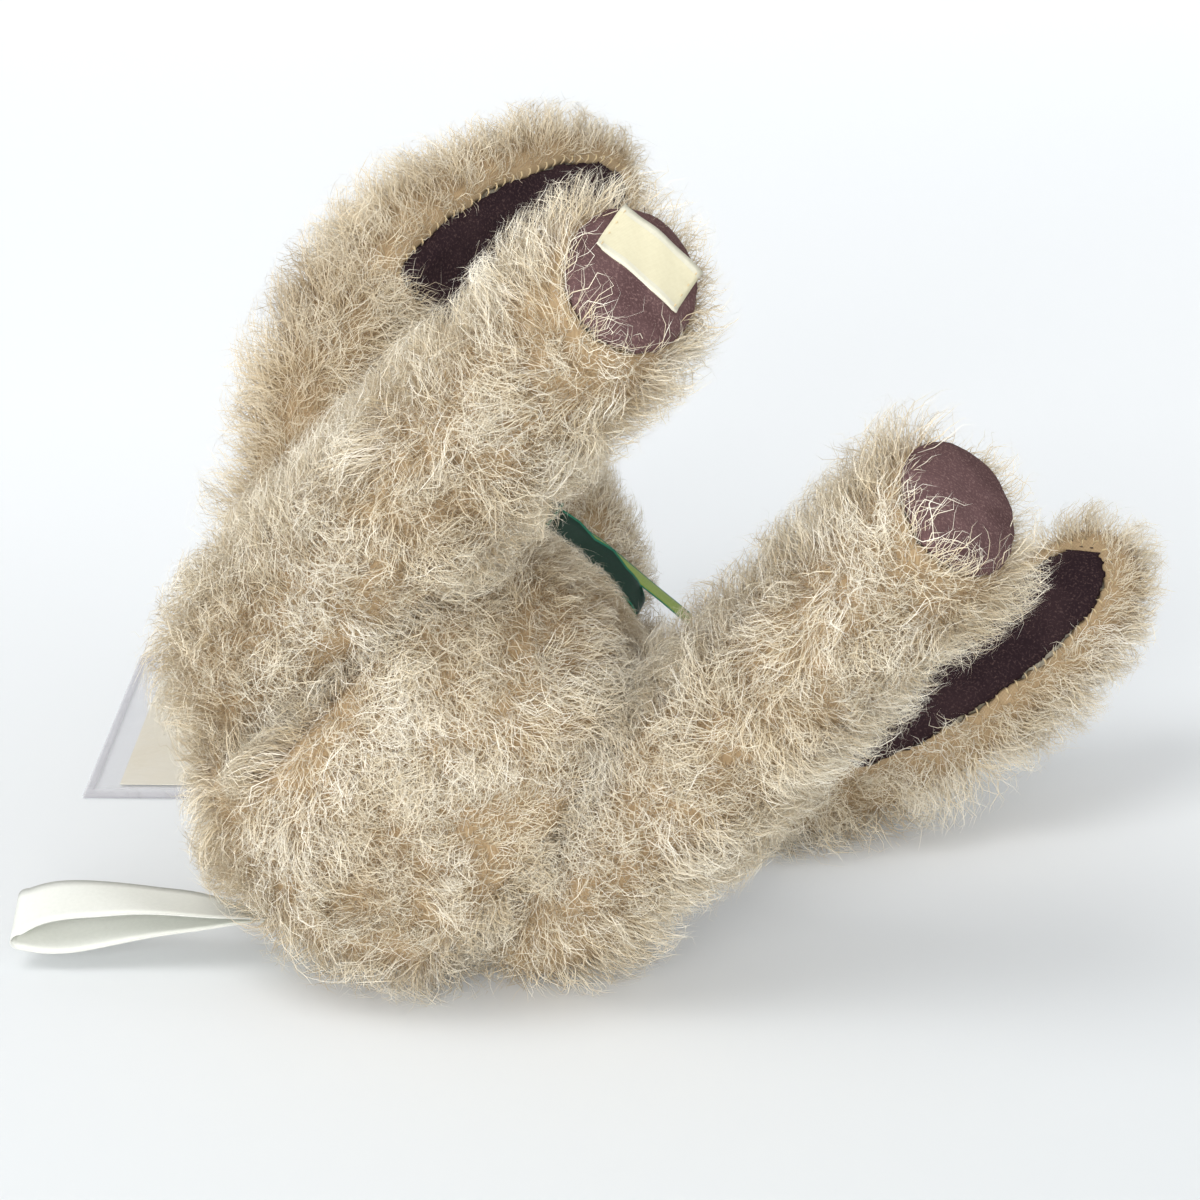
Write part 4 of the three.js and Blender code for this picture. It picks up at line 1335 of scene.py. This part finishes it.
class Face:
    """Glass eyes, and a nose and mouth in floss."""

    eye_radius = 0.0062
    thread = 0.00055

    def __init__(self) -> None:
        """Finds which way the head looks."""
        self.neck = JOINT_AT["neck_turn"]
        ahead = middle_of("nose_stitching") - self.neck
        ahead -= AXES.crown * ahead.dot(AXES.crown)
        self.ahead = ahead.normalized()
        self.left = AXES.crown.cross(self.ahead) * -1.0

    def at(self, left: float, ahead: float, up: float) -> Vector:
        """A place given from the neck, along the head's own directions."""
        return self.neck + self.left * left + self.ahead * ahead + AXES.crown * up

    def build(self, head: StuffedForm) -> None:
        """Makes the eyes, the nose and the mouth on the head's backing."""
        self.surface = surface_of([], head.backing)
        for side in Side:
            self.build_eye(side)
        self.build_nose()
        self.build_mouth()

    def build_eye(self, side: Side) -> None:
        """Makes one eye: a polished ball whose front bulges a little, on its shank."""
        node = f"{side.value}_eye"
        points, _, _ = mesh_arrays(frame["nodes"][node])
        depth = points @ np.array(self.ahead)
        middle = Vector(points[depth > depth.max() - self.eye_radius].mean(axis=0))
        middle += self.ahead * (depth.max() - self.eye_radius - middle.dot(self.ahead))
        deselect_all()
        bpy.ops.mesh.primitive_uv_sphere_add(segments=32, ring_count=20, radius=self.eye_radius)
        ball = bpy.context.object
        ball.name = f"{side.value}_glass_eye"
        layer = ball.data.uv_layers.new(name="Eye")
        turn = Vector((0, 0, 1)).rotation_difference(self.ahead).to_matrix()
        for polygon in ball.data.polygons:
            for loop in polygon.loop_indices:
                at = ball.data.vertices[ball.data.loops[loop].vertex_index].co
                off_axis = math.acos(max(-1.0, min(1.0, at.z / self.eye_radius)))
                round_it = 0.5 + 0.5 * math.atan2(at.y, at.x) / math.pi
                layer.data[loop].uv = (off_axis / math.pi * 2, round_it)
        for vertex in ball.data.vertices:
            bulge = 1 + 0.05 * max(0.0, vertex.co.z / self.eye_radius) ** 3
            vertex.co = middle + turn @ (vertex.co * bulge)
        ends = [middle - self.ahead * 0.003, middle - self.ahead * 0.012]
        piece = joined(ball.name, [ball, thread_bar("shank", ends, 0.0011, 10)])
        GLASS.dress(piece, "eye", "head", node)
        log.info("%s at %s", node, tuple(middle))

    def on_face(self, left: float, up: float, lift: float) -> Vector:
        """The face's surface, seen from the front, raised by lift."""
        start = self.at(left, 0.12, up)
        hit = self.surface.ray_cast(start, -self.ahead)
        return hit[0] + hit[1].normalized() * lift

    def thread_over(self, name: str, ends: Sequence[tuple[float, float]], lift: float) -> Piece:
        """Lays one thread over the face through some places, each given as left and up."""
        line = []
        for (x0, z0), (x1, z1) in zip(ends, ends[1:]):
            for step in range(5):
                share = step / 5
                line.append(self.on_face(x0 + (x1 - x0) * share, z0 + (z1 - z0) * share, lift))
        line.append(self.on_face(*ends[-1], lift))
        return thread_bar(name, line, self.thread)

    def build_nose(self) -> None:
        """Covers the nose with upright satin stitches."""
        half, top, bottom = 0.0095, 0.045, 0.036
        threads = []
        count = 17
        for i in range(count):
            left = half * (2 * i / (count - 1) - 1)
            share = abs(left) / half
            raised = 0.5 * share / 0.85 if share < 0.85 else 0.5 + 3.2 * (share - 0.85)
            low = bottom + (top - bottom) * raised
            lift = 0.0009 + 0.0012 * (1 - share ** 2)
            threads.append(self.thread_over(f"nose_{i}", [(left, top), (left * 0.97, low)], lift))
        FLOSS.dress(joined("nose_threads", threads), "floss", "head", "nose_stitching")

    def build_mouth(self) -> None:
        """Sews the mouth: a short stem that forks into two drooping lines."""
        stem_top, fork, corner, half = 0.0357, 0.029, 0.0205, 0.0105
        strokes = []
        for twist in (-0.0005, 0.0005):
            strokes.append(self.thread_over("stem", [(twist, stem_top), (twist, fork)], 0.0008))
            for way in (-1, 1):
                droop = (way * half * 0.55, fork - 0.0058 + twist)
                ends = [(twist, fork + twist), droop, (way * half, corner + twist)]
                strokes.append(self.thread_over("smile", ends, 0.0008))
        FLOSS.dress(joined("mouth_threads", strokes), "floss", "head", "mouth_stitching")


# Ribbon, labels and tag


class Reverse(Enum):
    """Which side of a strip is the reverse of its cloth."""

    NEITHER = 0
    AS_MADE = 1
    TURNED = 2


def strip(
    name: str,
    line: Sequence[Vector],
    across: Sequence[Vector],
    width: float,
    thickness: float,
    columns: int = 4,
    reverse: Reverse = Reverse.NEITHER,
) -> Piece:
    """Makes a strip of cloth along a line, with a map in metres: across it, then along it.

    Args:
        name: the piece's name.
        line: its middle line.
        across: the direction of its width at each point.
        width: its width.
        thickness: its thickness.
        columns: how many faces lie side by side.
        reverse: which side is the cloth's reverse, whose map starts further along.

    Returns:
        The closed strip.
    """
    walked = [0.0]
    for start, end in zip(line, line[1:]):
        walked.append(walked[-1] + (end - start).length)

    def at(k: int, i: int) -> tuple[Vector, tuple[float, float]]:
        """One point and its place in the map."""
        offset = width * (k / columns - 0.5)
        return line[i] + across[i].normalized() * offset, (offset, walked[i])

    piece = grid_piece(name, columns, len(line) - 1, at, CLOTH_UV)
    one_side = len(piece.data.polygons)
    finish_with(piece, "SOLIDIFY", thickness=thickness, offset=0.0, use_even_offset=True)
    if reverse is not Reverse.NEITHER:
        layer = piece.data.uv_layers[CLOTH_UV]
        start = 0 if reverse is Reverse.AS_MADE else one_side
        for polygon in list(piece.data.polygons)[start:start + one_side]:
            for index in polygon.loop_indices:
                layer.data[index].uv.y += REVERSE_FROM
    return piece


@dataclass(frozen=True)
class BowHalf:
    """One side of the bow: how far its loop and its tail reach, and how far back they fall."""

    way: int
    loop: float
    loop_fall: float
    tail: float
    tail_fall: float
    tail_up: float


class NeckRibbon:
    """A two-sided ribbon round the neck: a band, a knot, two loops and two tails."""

    width = 0.0105
    thickness = 0.0003
    radius = 0.0379
    middle = -0.0002
    knot_left = -0.008
    knot_back = -0.0430
    loop_back = -0.0428
    loop_up = -0.0055
    knot_up = -0.0035
    loop_depth = 0.010
    halves = (
        BowHalf(1, 0.0475, 0.0040, 0.0640, -0.0030, 0.0070),
        BowHalf(-1, 0.0400, 0.0080, 0.0430, 0.0060, 0.0070),
    )

    def place(self, left: float, back: float, up: float) -> Vector:
        """A place given from the neck joint, along the bear's own axes."""
        up += self.middle
        return JOINT_AT["neck_turn"] + AXES.left * left + AXES.back * back + AXES.crown * up

    def build(self) -> Piece:
        """Makes the ribbon as one tied piece.

        Returns:
            The piece.
        """
        strips = [self.band(), self.knot()]
        for half in self.halves:
            strips += [self.loop(half), self.tail(half)]
        piece = joined("neck_bow", strips)
        RIBBON.dress(piece, "ribbon", "torso", "neck_ribbon")
        return piece

    def band(self) -> Piece:
        """Wraps the neck, with a few soft creases."""
        count = 72
        line, across = [], []
        for i in range(count + 1):
            angle = math.tau * i / count - math.pi / 2
            reach = self.radius + 0.0003 * math.sin(angle * 9)
            rise = 0.0004 * math.sin(angle * 5)
            line.append(self.place(reach * math.cos(angle), reach * math.sin(angle), rise))
            tilt = 0.12 * math.sin(angle * 3)
            across.append(AXES.crown + (AXES.left * math.cos(angle) + AXES.back * math.sin(angle)) * tilt)
        return strip("band", line, across, self.width, self.thickness, reverse=Reverse.AS_MADE)

    def loop(self, half: BowHalf) -> Piece:
        """Makes a loop: it leaves the knot in front, turns over at its end and comes back behind."""
        line, across = [], []
        steps = 40
        for i in range(steps + 1):
            turn = -math.pi + math.tau * i / steps
            share = (1 + math.cos(turn)) / 2
            deep = self.loop_depth / 2 * math.sin(turn) * math.sin((turn + math.pi) / 2)
            lean = math.radians(np.interp(share, [0.0, 0.2, 0.6, 1.0], [50.0, 66.0, 62.0, 24.0]))
            crease = math.sin(share * 19) * math.sin(share * math.pi)
            lean += 0.16 * crease
            fall = half.loop_fall * share ** 2 - 0.0010 * math.sin(share * math.pi) + 0.0004 * crease
            spot = self.place(
                self.knot_left + half.way * half.loop * share,
                self.loop_back + fall,
                self.loop_up - 0.0008 * math.sin(share * 5),
            )
            line.append(spot + (AXES.back * math.cos(lean) + AXES.crown * math.sin(lean)) * deep)
            across.append(AXES.crown * math.cos(lean) - AXES.back * math.sin(lean))
        inner = Reverse.AS_MADE if half.way > 0 else Reverse.TURNED
        return strip("loop", line, across, self.width * 0.97, self.thickness, reverse=inner)

    def tail(self, half: BowHalf) -> Piece:
        """Makes a tail, which lies behind its loop with its reverse showing."""
        line, across = [], []
        steps = 20
        for i in range(steps + 1):
            share = i / steps
            line.append(self.place(
                self.knot_left + half.way * half.tail * share,
                self.loop_back + half.tail_fall * share - 0.0012 * math.sin(share * math.pi),
                self.knot_up + half.tail_up * min(1.0, share * 2.5) + 0.0008 * math.sin(share * 8),
            ))
            lean = 0.20 + 0.08 * math.sin(share * 6)
            across.append(AXES.crown * math.cos(lean) - AXES.back * math.sin(lean))
        shown = Reverse.TURNED if half.way > 0 else Reverse.AS_MADE
        return strip("tail", line, across, self.width * 0.97, self.thickness, reverse=shown)

    def knot(self) -> Piece:
        """Wraps the middle of the bow in one turn of the ribbon."""
        line, across = [], []
        count = 28
        for i in range(count + 1):
            angle = math.tau * i / count
            line.append(self.place(
                self.knot_left,
                self.knot_back + 0.0062 * math.cos(angle),
                self.knot_up + 0.0064 * math.sin(angle),
            ))
            across.append(AXES.left + AXES.crown * 0.1 * math.sin(angle * 2))
        piece = strip("knot", line, across, self.width, self.thickness, 6, Reverse.AS_MADE)
        middle = self.place(self.knot_left, self.knot_back, self.knot_up)
        for vertex in piece.data.vertices:
            offset = (vertex.co - middle).dot(AXES.left)
            share = offset / self.width
            waist = 1.0 - 0.14 * math.cos(share * math.pi) + 0.05 * math.cos(share * 14)
            aside = vertex.co - middle - AXES.left * offset
            vertex.co = middle + AXES.left * offset + aside * waist
        return piece


class SoleLabel:
    """A bare cream label, sewn on the right sole and lifting a little at its corners."""

    def build(self) -> None:
        """Makes the label from the frame's own thin solid."""
        pad = surface_of(["right_foot_pad"])
        points, _, _ = mesh_arrays(frame["nodes"]["foot_label"])
        middle = points.mean(axis=0)
        near = pad.find_nearest(Vector(middle))
        out = near[1].normalized()
        along = Vector(AXES.left)
        along = (along - out * along.dot(out)).normalized()
        aside = out.cross(along)
        toeward = 1.0 if aside.dot(Vector(middle) - middle_of("right_foot_pad")) > 0 else -1.0
        reach = [np.abs((points - middle) @ np.array(way)).max() for way in (along, aside)]
        columns, rows = 22, 12

        def at(i: int, j: int) -> tuple[Vector, tuple[float, float]]:
            """One point, a little frayed, waved and lifted at the corners, and its place in the map."""
            x, y = 2 * i / columns - 1, 2 * j / rows - 1
            fray = 0.00025 * math.sin(i * 2.3 + j * 1.7)
            across = x * reach[0] + fray * abs(y) ** 6
            up = y * reach[1] + fray * abs(x) ** 6
            spot = Vector(middle) + along * across + aside * up
            hit = pad.ray_cast(spot + out * 0.02, -out)
            surface = hit[0] if hit[0] is not None else pad.find_nearest(spot)[0]
            corner = (abs(x) * abs(y)) ** 5
            wave = 0.00018 * math.sin(x * 7 + y * 3) * abs(y)
            stiff = 0.0022 * max(0.0, (1 + toeward * y) / 2) ** 2
            lift = 0.0007 + wave + stiff + 0.0010 * corner
            return surface + out * lift, (y * reach[1], x * reach[0])

        piece = grid_piece("sole_label", columns, rows, at, CLOTH_UV)
        finish_with(piece, "SOLIDIFY", thickness=0.00035, offset=1.0)
        shade_smooth(piece)
        CREAM_TAPE.dress(piece, "sole_tape", "right_leg", "foot_label")
        stitches = []
        for i in (1, columns - 1):
            for j in range(1, rows - 1, 3):
                start, end = at(i, j)[0], at(i, j + 1)[0]
                line = [start + out * 0.0002, start.lerp(end, 0.5) + out * 0.0007, end + out * 0.0002]
                stitches.append(thread_bar("label_stitch", line, 0.0002, 5))
        CREAM_FLOSS.dress(joined("sole_label_stitches", stitches, smooth=False), "floss", "right_leg")
        log.info("sole label sewn with %d stitches", len(stitches))


class SeamLabel:
    """A bare white label of stiff tape, looped out of the back seam a little above the floor.

    Along the way from its fold to the seam it has, for each layer, the height of its middle
    and how much higher its far edge is than its near one.
    """

    width = 0.019
    shares = (0.0, 0.06, 0.17, 0.40, 0.58, 0.75, 0.84, 1.0)
    upper_height = (0.0160, 0.0189, 0.0202, 0.0203, 0.0193, 0.0170, 0.0152, 0.0135)
    upper_rise = (0.0075, 0.0058, 0.0040, 0.0020, 0.0, -0.0037, -0.0062, -0.0080)
    lower_height = (0.0108, 0.0088, 0.0086, 0.0118, 0.0142, 0.0156, 0.0149, 0.0132)
    lower_rise = (0.0070, 0.0052, 0.0036, 0.0026, 0.0008, -0.0020, -0.0050, -0.0080)
    fold_inset = 0.0022
    fold_depth = 0.0034

    def build(self) -> None:
        """Makes the label's two layers as one folded strip."""
        low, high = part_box("seam_label")
        middle = (low.y + high.y) / 2
        fold = low.x + self.fold_inset + self.fold_depth
        reach = high.x + 0.002 - fold
        count = 36
        shares = np.linspace(0.0, 1.0, count + 1)
        heights = [self.eased(shares, layer) for layer in (self.upper_height, self.lower_height)]
        rises = [self.eased(shares, layer) for layer in (self.upper_rise, self.lower_rise)]
        line, across = [], []

        def add(x: float, z: float, rise: float) -> None:
            """Adds a point of the middle line, its width rising by rise."""
            sine = rise / self.width
            line.append(Vector((x, middle, z)))
            across.append(Vector((0.0, math.sqrt(1 - sine * sine), sine)))

        for i in reversed(range(count + 1)):
            add(fold + shares[i] * reach, heights[0][i], rises[0][i])
        for i in range(1, 10):
            angle = math.pi * i / 10
            share = (1 - math.cos(angle)) / 2
            z = heights[0][0] * (1 - share) + heights[1][0] * share
            rise = rises[0][0] * (1 - share) + rises[1][0] * share
            add(fold - self.fold_depth * math.sin(angle), z, rise)
        for i in range(count + 1):
            add(fold + shares[i] * reach, heights[1][i], rises[1][i])
        piece = strip("back_label", line, across, self.width, 0.0003, 6)
        for vertex in piece.data.vertices:
            share = (vertex.co.x - fold) / reach
            vertex.co.z += 0.0004 * math.sin(share * 11 + vertex.co.y * 160) * math.sin(share * math.pi)
        shade_smooth(piece)
        WHITE_TAPE.dress(piece, "tape", "torso", "seam_label")

    def eased(self, shares: np.ndarray, values: Sequence[float]) -> np.ndarray:
        """Reads a layer's values along its way, with their corners rounded."""
        eased = np.interp(shares, self.shares, values)
        for _ in range(4):
            eased[1:-1] = (eased[:-2] + 2 * eased[1:-1] + eased[2:]) / 4
        return eased


class TagSleeve:
    """A clear welded sleeve with a plain card, lying beside the bear."""

    def build(self) -> None:
        """Makes the sleeve's two films, and the card between them."""
        low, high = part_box("tag_sleeve")
        sleeve = joined("clear_sleeve", [self.film(low, high, top) for top in (False, True)])
        FILM.dress(sleeve, "film", "torso", "tag_sleeve")
        self.card()

    def film(self, low: Vector, high: Vector, top: bool) -> Piece:
        """Makes one film, rising over the card and flat at its welds.

        Args:
            low: the sleeve's lowest corner.
            high: its highest corner.
            top: whether this is the upper film.

        Returns:
            The film.
        """
        columns, rows = 24, 40
        size = high - low

        def at(i: int, j: int) -> tuple[Vector, tuple[float, float]]:
            """One point and its place in the map."""
            x, y = 2 * i / columns - 1, 2 * j / rows - 1
            inside = max(0.0, 1 - max(abs(x), abs(y)) ** 12)
            buckle = 0.0004 * math.sin(x * 5 + y * 3) * math.sin(y * 7 - x * 2) * inside
            rise = 0.0006 + 0.0009 * inside + buckle + 0.0003 if top else 0.0002
            spot = (low.x + size.x * i / columns, low.y + size.y * j / rows, low.z + rise)
            return Vector(spot), (x, y)

        return grid_piece("film", columns, rows, at, FILM.uv_map)

    def card(self) -> None:
        """Makes the plain card with rounded corners and softened edges."""
        piece = copy_of_node("tag_card", "tag_card_blank")
        finish_with(piece, "BEVEL", width=0.00012, segments=2)
        CARD.dress(piece, "card", "torso", "tag_card")


class JointHardware:
    """The boards, washers and split pins of the five joints, finished where the frame has them."""

    def dress(self) -> None:
        """Gives each its material."""
        for name, node in frame["nodes"].items():
            if name.endswith("_disc"):
                BOARD.dress(node, "board")
            elif name.endswith("_washer") or name.endswith("_split_pin"):
                STEEL.dress(node, "steel")


# The whole bear


class Bear:
    """The bear: its stuffed forms, their pile, the pads, the face and the trimmings."""

    limbs = [(side, limb) for side in Side for limb in Limb]

    def __init__(self) -> None:
        """Names the forms."""
        self.body = StuffedForm("body", "torso")
        self.head = StuffedForm("head", "head")
        self.limb_forms = {
            (side, limb): StuffedForm(f"{side.value}_{limb.word}", f"{side.value}_{limb.word}")
            for side, limb in self.limbs
        }
        self.ears = [Ear(f"{side.value}_ear", "head") for side in Side]

    def build(self) -> None:
        """Builds every piece in order."""
        for form in [self.body, self.head, *self.limb_forms.values(), *self.ears]:
            form.build()
        for side, limb in self.limbs:
            FeltPad(side, limb).build()
        face = Face()
        face.build(self.head)
        bow = NeckRibbon().build()
        SoleLabel().build()
        SeamLabel().build()
        TagSleeve().build()
        JointHardware().dress()
        self.grow_pile(face, bow)

    def others(self, *own: str) -> BVHTree:
        """The surface of every skin, pad, ear and the ribbon, apart from some.

        Args:
            *own: the nodes left out.

        Returns:
            The search tree.
        """
        names = [
            name for name in frame["nodes"]
            if name.endswith(("_skin", "_pad", "_ear", "_ribbon", "_label")) and name not in own
        ]
        return surface_of(names)

    def grow_pile(self, face: Face, bow: Piece) -> None:
        """Grows the mohair on every form, brushed as it lies on a bear.

        Args:
            face: the face, which the head's pile is brushed back from.
            bow: the ribbon, which presses the pile round it.
        """
        def away_from(place: Vector) -> Callable[[Points], Points]:
            """Brushes away from a place."""
            return lambda points: -unit(np.array(place)[None] - points)

        def along(way: Vector) -> Callable[[Points], Points]:
            """Brushes one way all over."""
            return lambda points: np.broadcast_to(np.array(way), points.shape)

        def coat(form: StuffedForm, pile: Pile, *rest: object, **more: object) -> None:
            """Grows the long pile and the short one beneath it."""
            for kind, each in (("pile", pile), ("under_pile", pile.under())):
                FurCoat(form, each, *rest, **more).build(f"{form.stem}_{kind}")

        ribbon = surface_of(["neck_ribbon"], bow)
        down = along(-AXES.crown)
        own = self.others("body_skin")
        coat(self.body, Pile(), down, own, ribbon, seed=3, grade=self.flattened(ribbon))
        for number, ((side, limb), form) in enumerate(self.limb_forms.items()):
            joint = JOINT_AT[f"{side.value}_{limb.joint}_turn"]
            pad = f"{side.value}_{limb.pad}"
            end = middle_of(pad) if limb is Limb.LEG else self.far_end(form, joint)
            way = along((end - joint).normalized())
            own = self.others(f"{form.stem}_skin", pad)
            if limb is Limb.LEG:
                pile = Pile(length=0.021, top=0.0125, beside_bare=0.9)
                grade = None
            else:
                tone = -0.25 if side is Side.RIGHT else -0.04
                pile = Pile(length=0.023, top=0.0150, beside_bare=0.45, parted=True, tone=tone)
                grade = self.shorter_towards(end, joint)
            coat(form, pile, way, own, surface_of([pad]), seed=20 + number, grade=grade)
        bare = surface_of(["left_eye", "right_eye", "nose_stitching", "mouth_stitching", "neck_ribbon"])
        brushed_back = away_from(face.at(0.0, 0.12, 0.03))
        own = self.others("head_skin", "left_ear", "right_ear")
        pile = Pile(length=0.017, top=0.010, roots_per_mm2=0.645)
        coat(self.head, pile, brushed_back, own, bare, seed=50)
        for number, ear in enumerate(self.ears):
            out = along((middle_of(ear.stem) - face.at(0.0, 0.0, 0.045)).normalized())
            pile = Pile(length=0.013, top=0.0075, roots_per_mm2=1.24)
            coat(ear, pile, out, surface_of(["head_skin"]), seed=60 + number)

    def flattened(self, ribbon: BVHTree) -> Callable[[Points], np.ndarray]:
        """Makes the body's pile shorter round the ribbon and flatter down the chest below it.

        Args:
            ribbon: the ribbon's surface.

        Returns:
            A function that gives each point's share of the pile's length.
        """
        reach = 0.045
        chest = JOINT_AT["neck_turn"] + AXES.left * 0.012 - AXES.back * 0.045
        down = np.array(-AXES.crown)

        def share(points: Points) -> np.ndarray:
            """The shorter of the two effects."""
            away = [ribbon.find_nearest(Vector(point), reach)[3] for point in points]
            away = np.array([reach if each is None else each for each in away])
            beside = np.interp(away, [0.005, 0.022, reach], [0.4, 0.62, 1.0])
            from_chest = points - np.array(chest)
            below = np.clip(from_chest @ down, 0.0, 0.125)[:, None]
            aside = np.linalg.norm(from_chest - below * down, axis=1)
            return np.minimum(beside, np.interp(aside, [0.022, 0.046], [0.56, 1.0]))

        return share

    def shorter_towards(self, end: Vector, joint: Vector) -> Callable[[Points], np.ndarray]:
        """Makes the pile longer beside a limb's joint and shorter at its end."""
        reach = (end - joint).length

        def share(points: Points) -> np.ndarray:
            """Goes by the distance from the joint."""
            along = np.linalg.norm(points - np.array(joint), axis=1) / reach
            return np.interp(along, [0.2, 0.6, 1.0], [1.12, 1.0, 0.68])

        return share

    def far_end(self, form: StuffedForm, joint: Vector) -> Vector:
        """The point of a limb that lies furthest from its joint."""
        points, _, _ = mesh_arrays(form.backing)
        return Vector(points[np.argmax(np.linalg.norm(points - np.array(joint), axis=1))])


# Studio


class Studio:
    """A pale floor, soft light and the camera."""

    camera_from_hips = Vector((0.0705, -1.0273, 0.3980))
    view = Vector((-0.023, 0.9447, -0.327))
    field = math.radians(18.3)

    def build(self) -> None:
        """Sets up the view, the floor, the lamps and the world."""
        self.camera()
        self.floor()
        self.lamps()
        self.world()

    def camera(self) -> None:
        """Places the camera at the photograph's angle."""
        data = bpy.data.cameras.new("camera")
        data.sensor_width = 36.0
        data.lens = 18.0 / math.tan(self.field / 2)
        data.clip_start = 0.05
        data.clip_end = 20.0
        camera = linked("camera", data)
        camera.location = AXES.origin + self.camera_from_hips
        camera.rotation_euler = self.view.to_track_quat("-Z", "Y").to_euler()
        bpy.context.scene.camera = camera

    def floor(self) -> None:
        """Makes a pale floor that curves up into a backdrop, greyer towards the front as painted shade,
        and glowing far off and behind for the camera alone.
        """
        half, bend, rise, top = 2.5, 1.6, 1.2, 3.5
        rows = [(-half, 0.0), (bend, 0.0)]
        for angle in np.linspace(0.2, math.pi / 2, 8):
            rows.append((bend + rise * math.sin(angle), rise * (1 - math.cos(angle))))
        rows.append((bend + rise, top))
        vertices = [Vector((x, y, z)) for y, z in rows for x in (-half, half)]
        faces = [(2 * i, 2 * i + 1, 2 * i + 3, 2 * i + 2) for i in range(len(rows) - 1)]
        floor = new_piece("studio_floor", vertices, faces)
        shade_smooth(floor)
        material = bpy.data.materials.new("studio_paper")
        material.use_nodes = True
        wiring = Wiring(material.node_tree)
        back = wiring.parts(wiring.place())[1]
        depth = wiring.add("ShaderNodeMapRange", {0: back, 1: -0.6, 2: 2.4}).outputs[0]
        # Painted shade: the floor is greyer towards the front.
        paper_with_painted_shade = wiring.ramp(depth, [
            (0.0, (0.62, 0.65, 0.66, 1)), (0.19, (0.75, 0.77, 0.78, 1)),
            (0.37, (0.88, 0.90, 0.91, 1)), (1.0, (0.92, 0.94, 0.95, 1)),
        ])
        seen = wiring.add("ShaderNodeLightPath").outputs["Is Camera Ray"]
        behind = wiring.add("ShaderNodeMapRange", {0: back, 1: -1.2, 2: -2.4, 3: 0.0, 4: 0.5}).outputs[0]
        far = wiring.maths("MULTIPLY_ADD", wiring.maths("POWER", depth, 1.1), 0.6, behind)
        wiring.shade({
            "Base Color": paper_with_painted_shade, "Roughness": 0.9, "Specular IOR Level": 0.1,
            "Emission Color": (0.95, 0.975, 1.0, 1),
            "Emission Strength": wiring.maths("MULTIPLY", seen, far),
        })
        floor.data.materials.append(material)
        floor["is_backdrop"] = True

    def lamps(self) -> None:
        """Hangs a large key lamp at the upper left, a lamp low in front and a weak one at the right."""
        for name, place, size, power in (
            ("key_lamp", Vector((-0.8, -0.8, 1.7)), 1.1, 16.0),
            ("front_lamp", Vector((-0.35, -1.7, 0.5)), 0.9, 23.0),
            ("fill_lamp", Vector((1.4, -1.0, 1.0)), 1.3, 5.0),
        ):
            data = bpy.data.lights.new(name, "AREA")
            data.size = size
            data.energy = power
            lamp = linked(name, data)
            lamp.location = place
            aim = Vector((0, 0, 0.08)) - place
            lamp.rotation_euler = aim.to_track_quat("-Z", "Y").to_euler()

    def world(self) -> None:
        """Lights the scene evenly from all round."""
        world = bpy.data.worlds.new("studio_world")
        bpy.context.scene.world = world
        world.use_nodes = True
        wiring = Wiring(world.node_tree)
        seen = wiring.add("ShaderNodeLightPath").outputs["Is Camera Ray"]
        strength = wiring.add("ShaderNodeMapRange", {0: seen, 3: 0.52, 4: 0.92}).outputs[0]
        background = {"Color": (0.97, 0.985, 1.0, 1), "Strength": strength}
        wiring.give(world.node_tree.nodes["Background"], background)
        bpy.context.scene.view_settings.view_transform = "Standard"


def main() -> None:
    """Builds the studio and the bear."""
    logging.basicConfig(level=logging.INFO, format="%(message)s")
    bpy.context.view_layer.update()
    Studio().build()
    Bear().build()


if __name__ == "__main__":
    main()
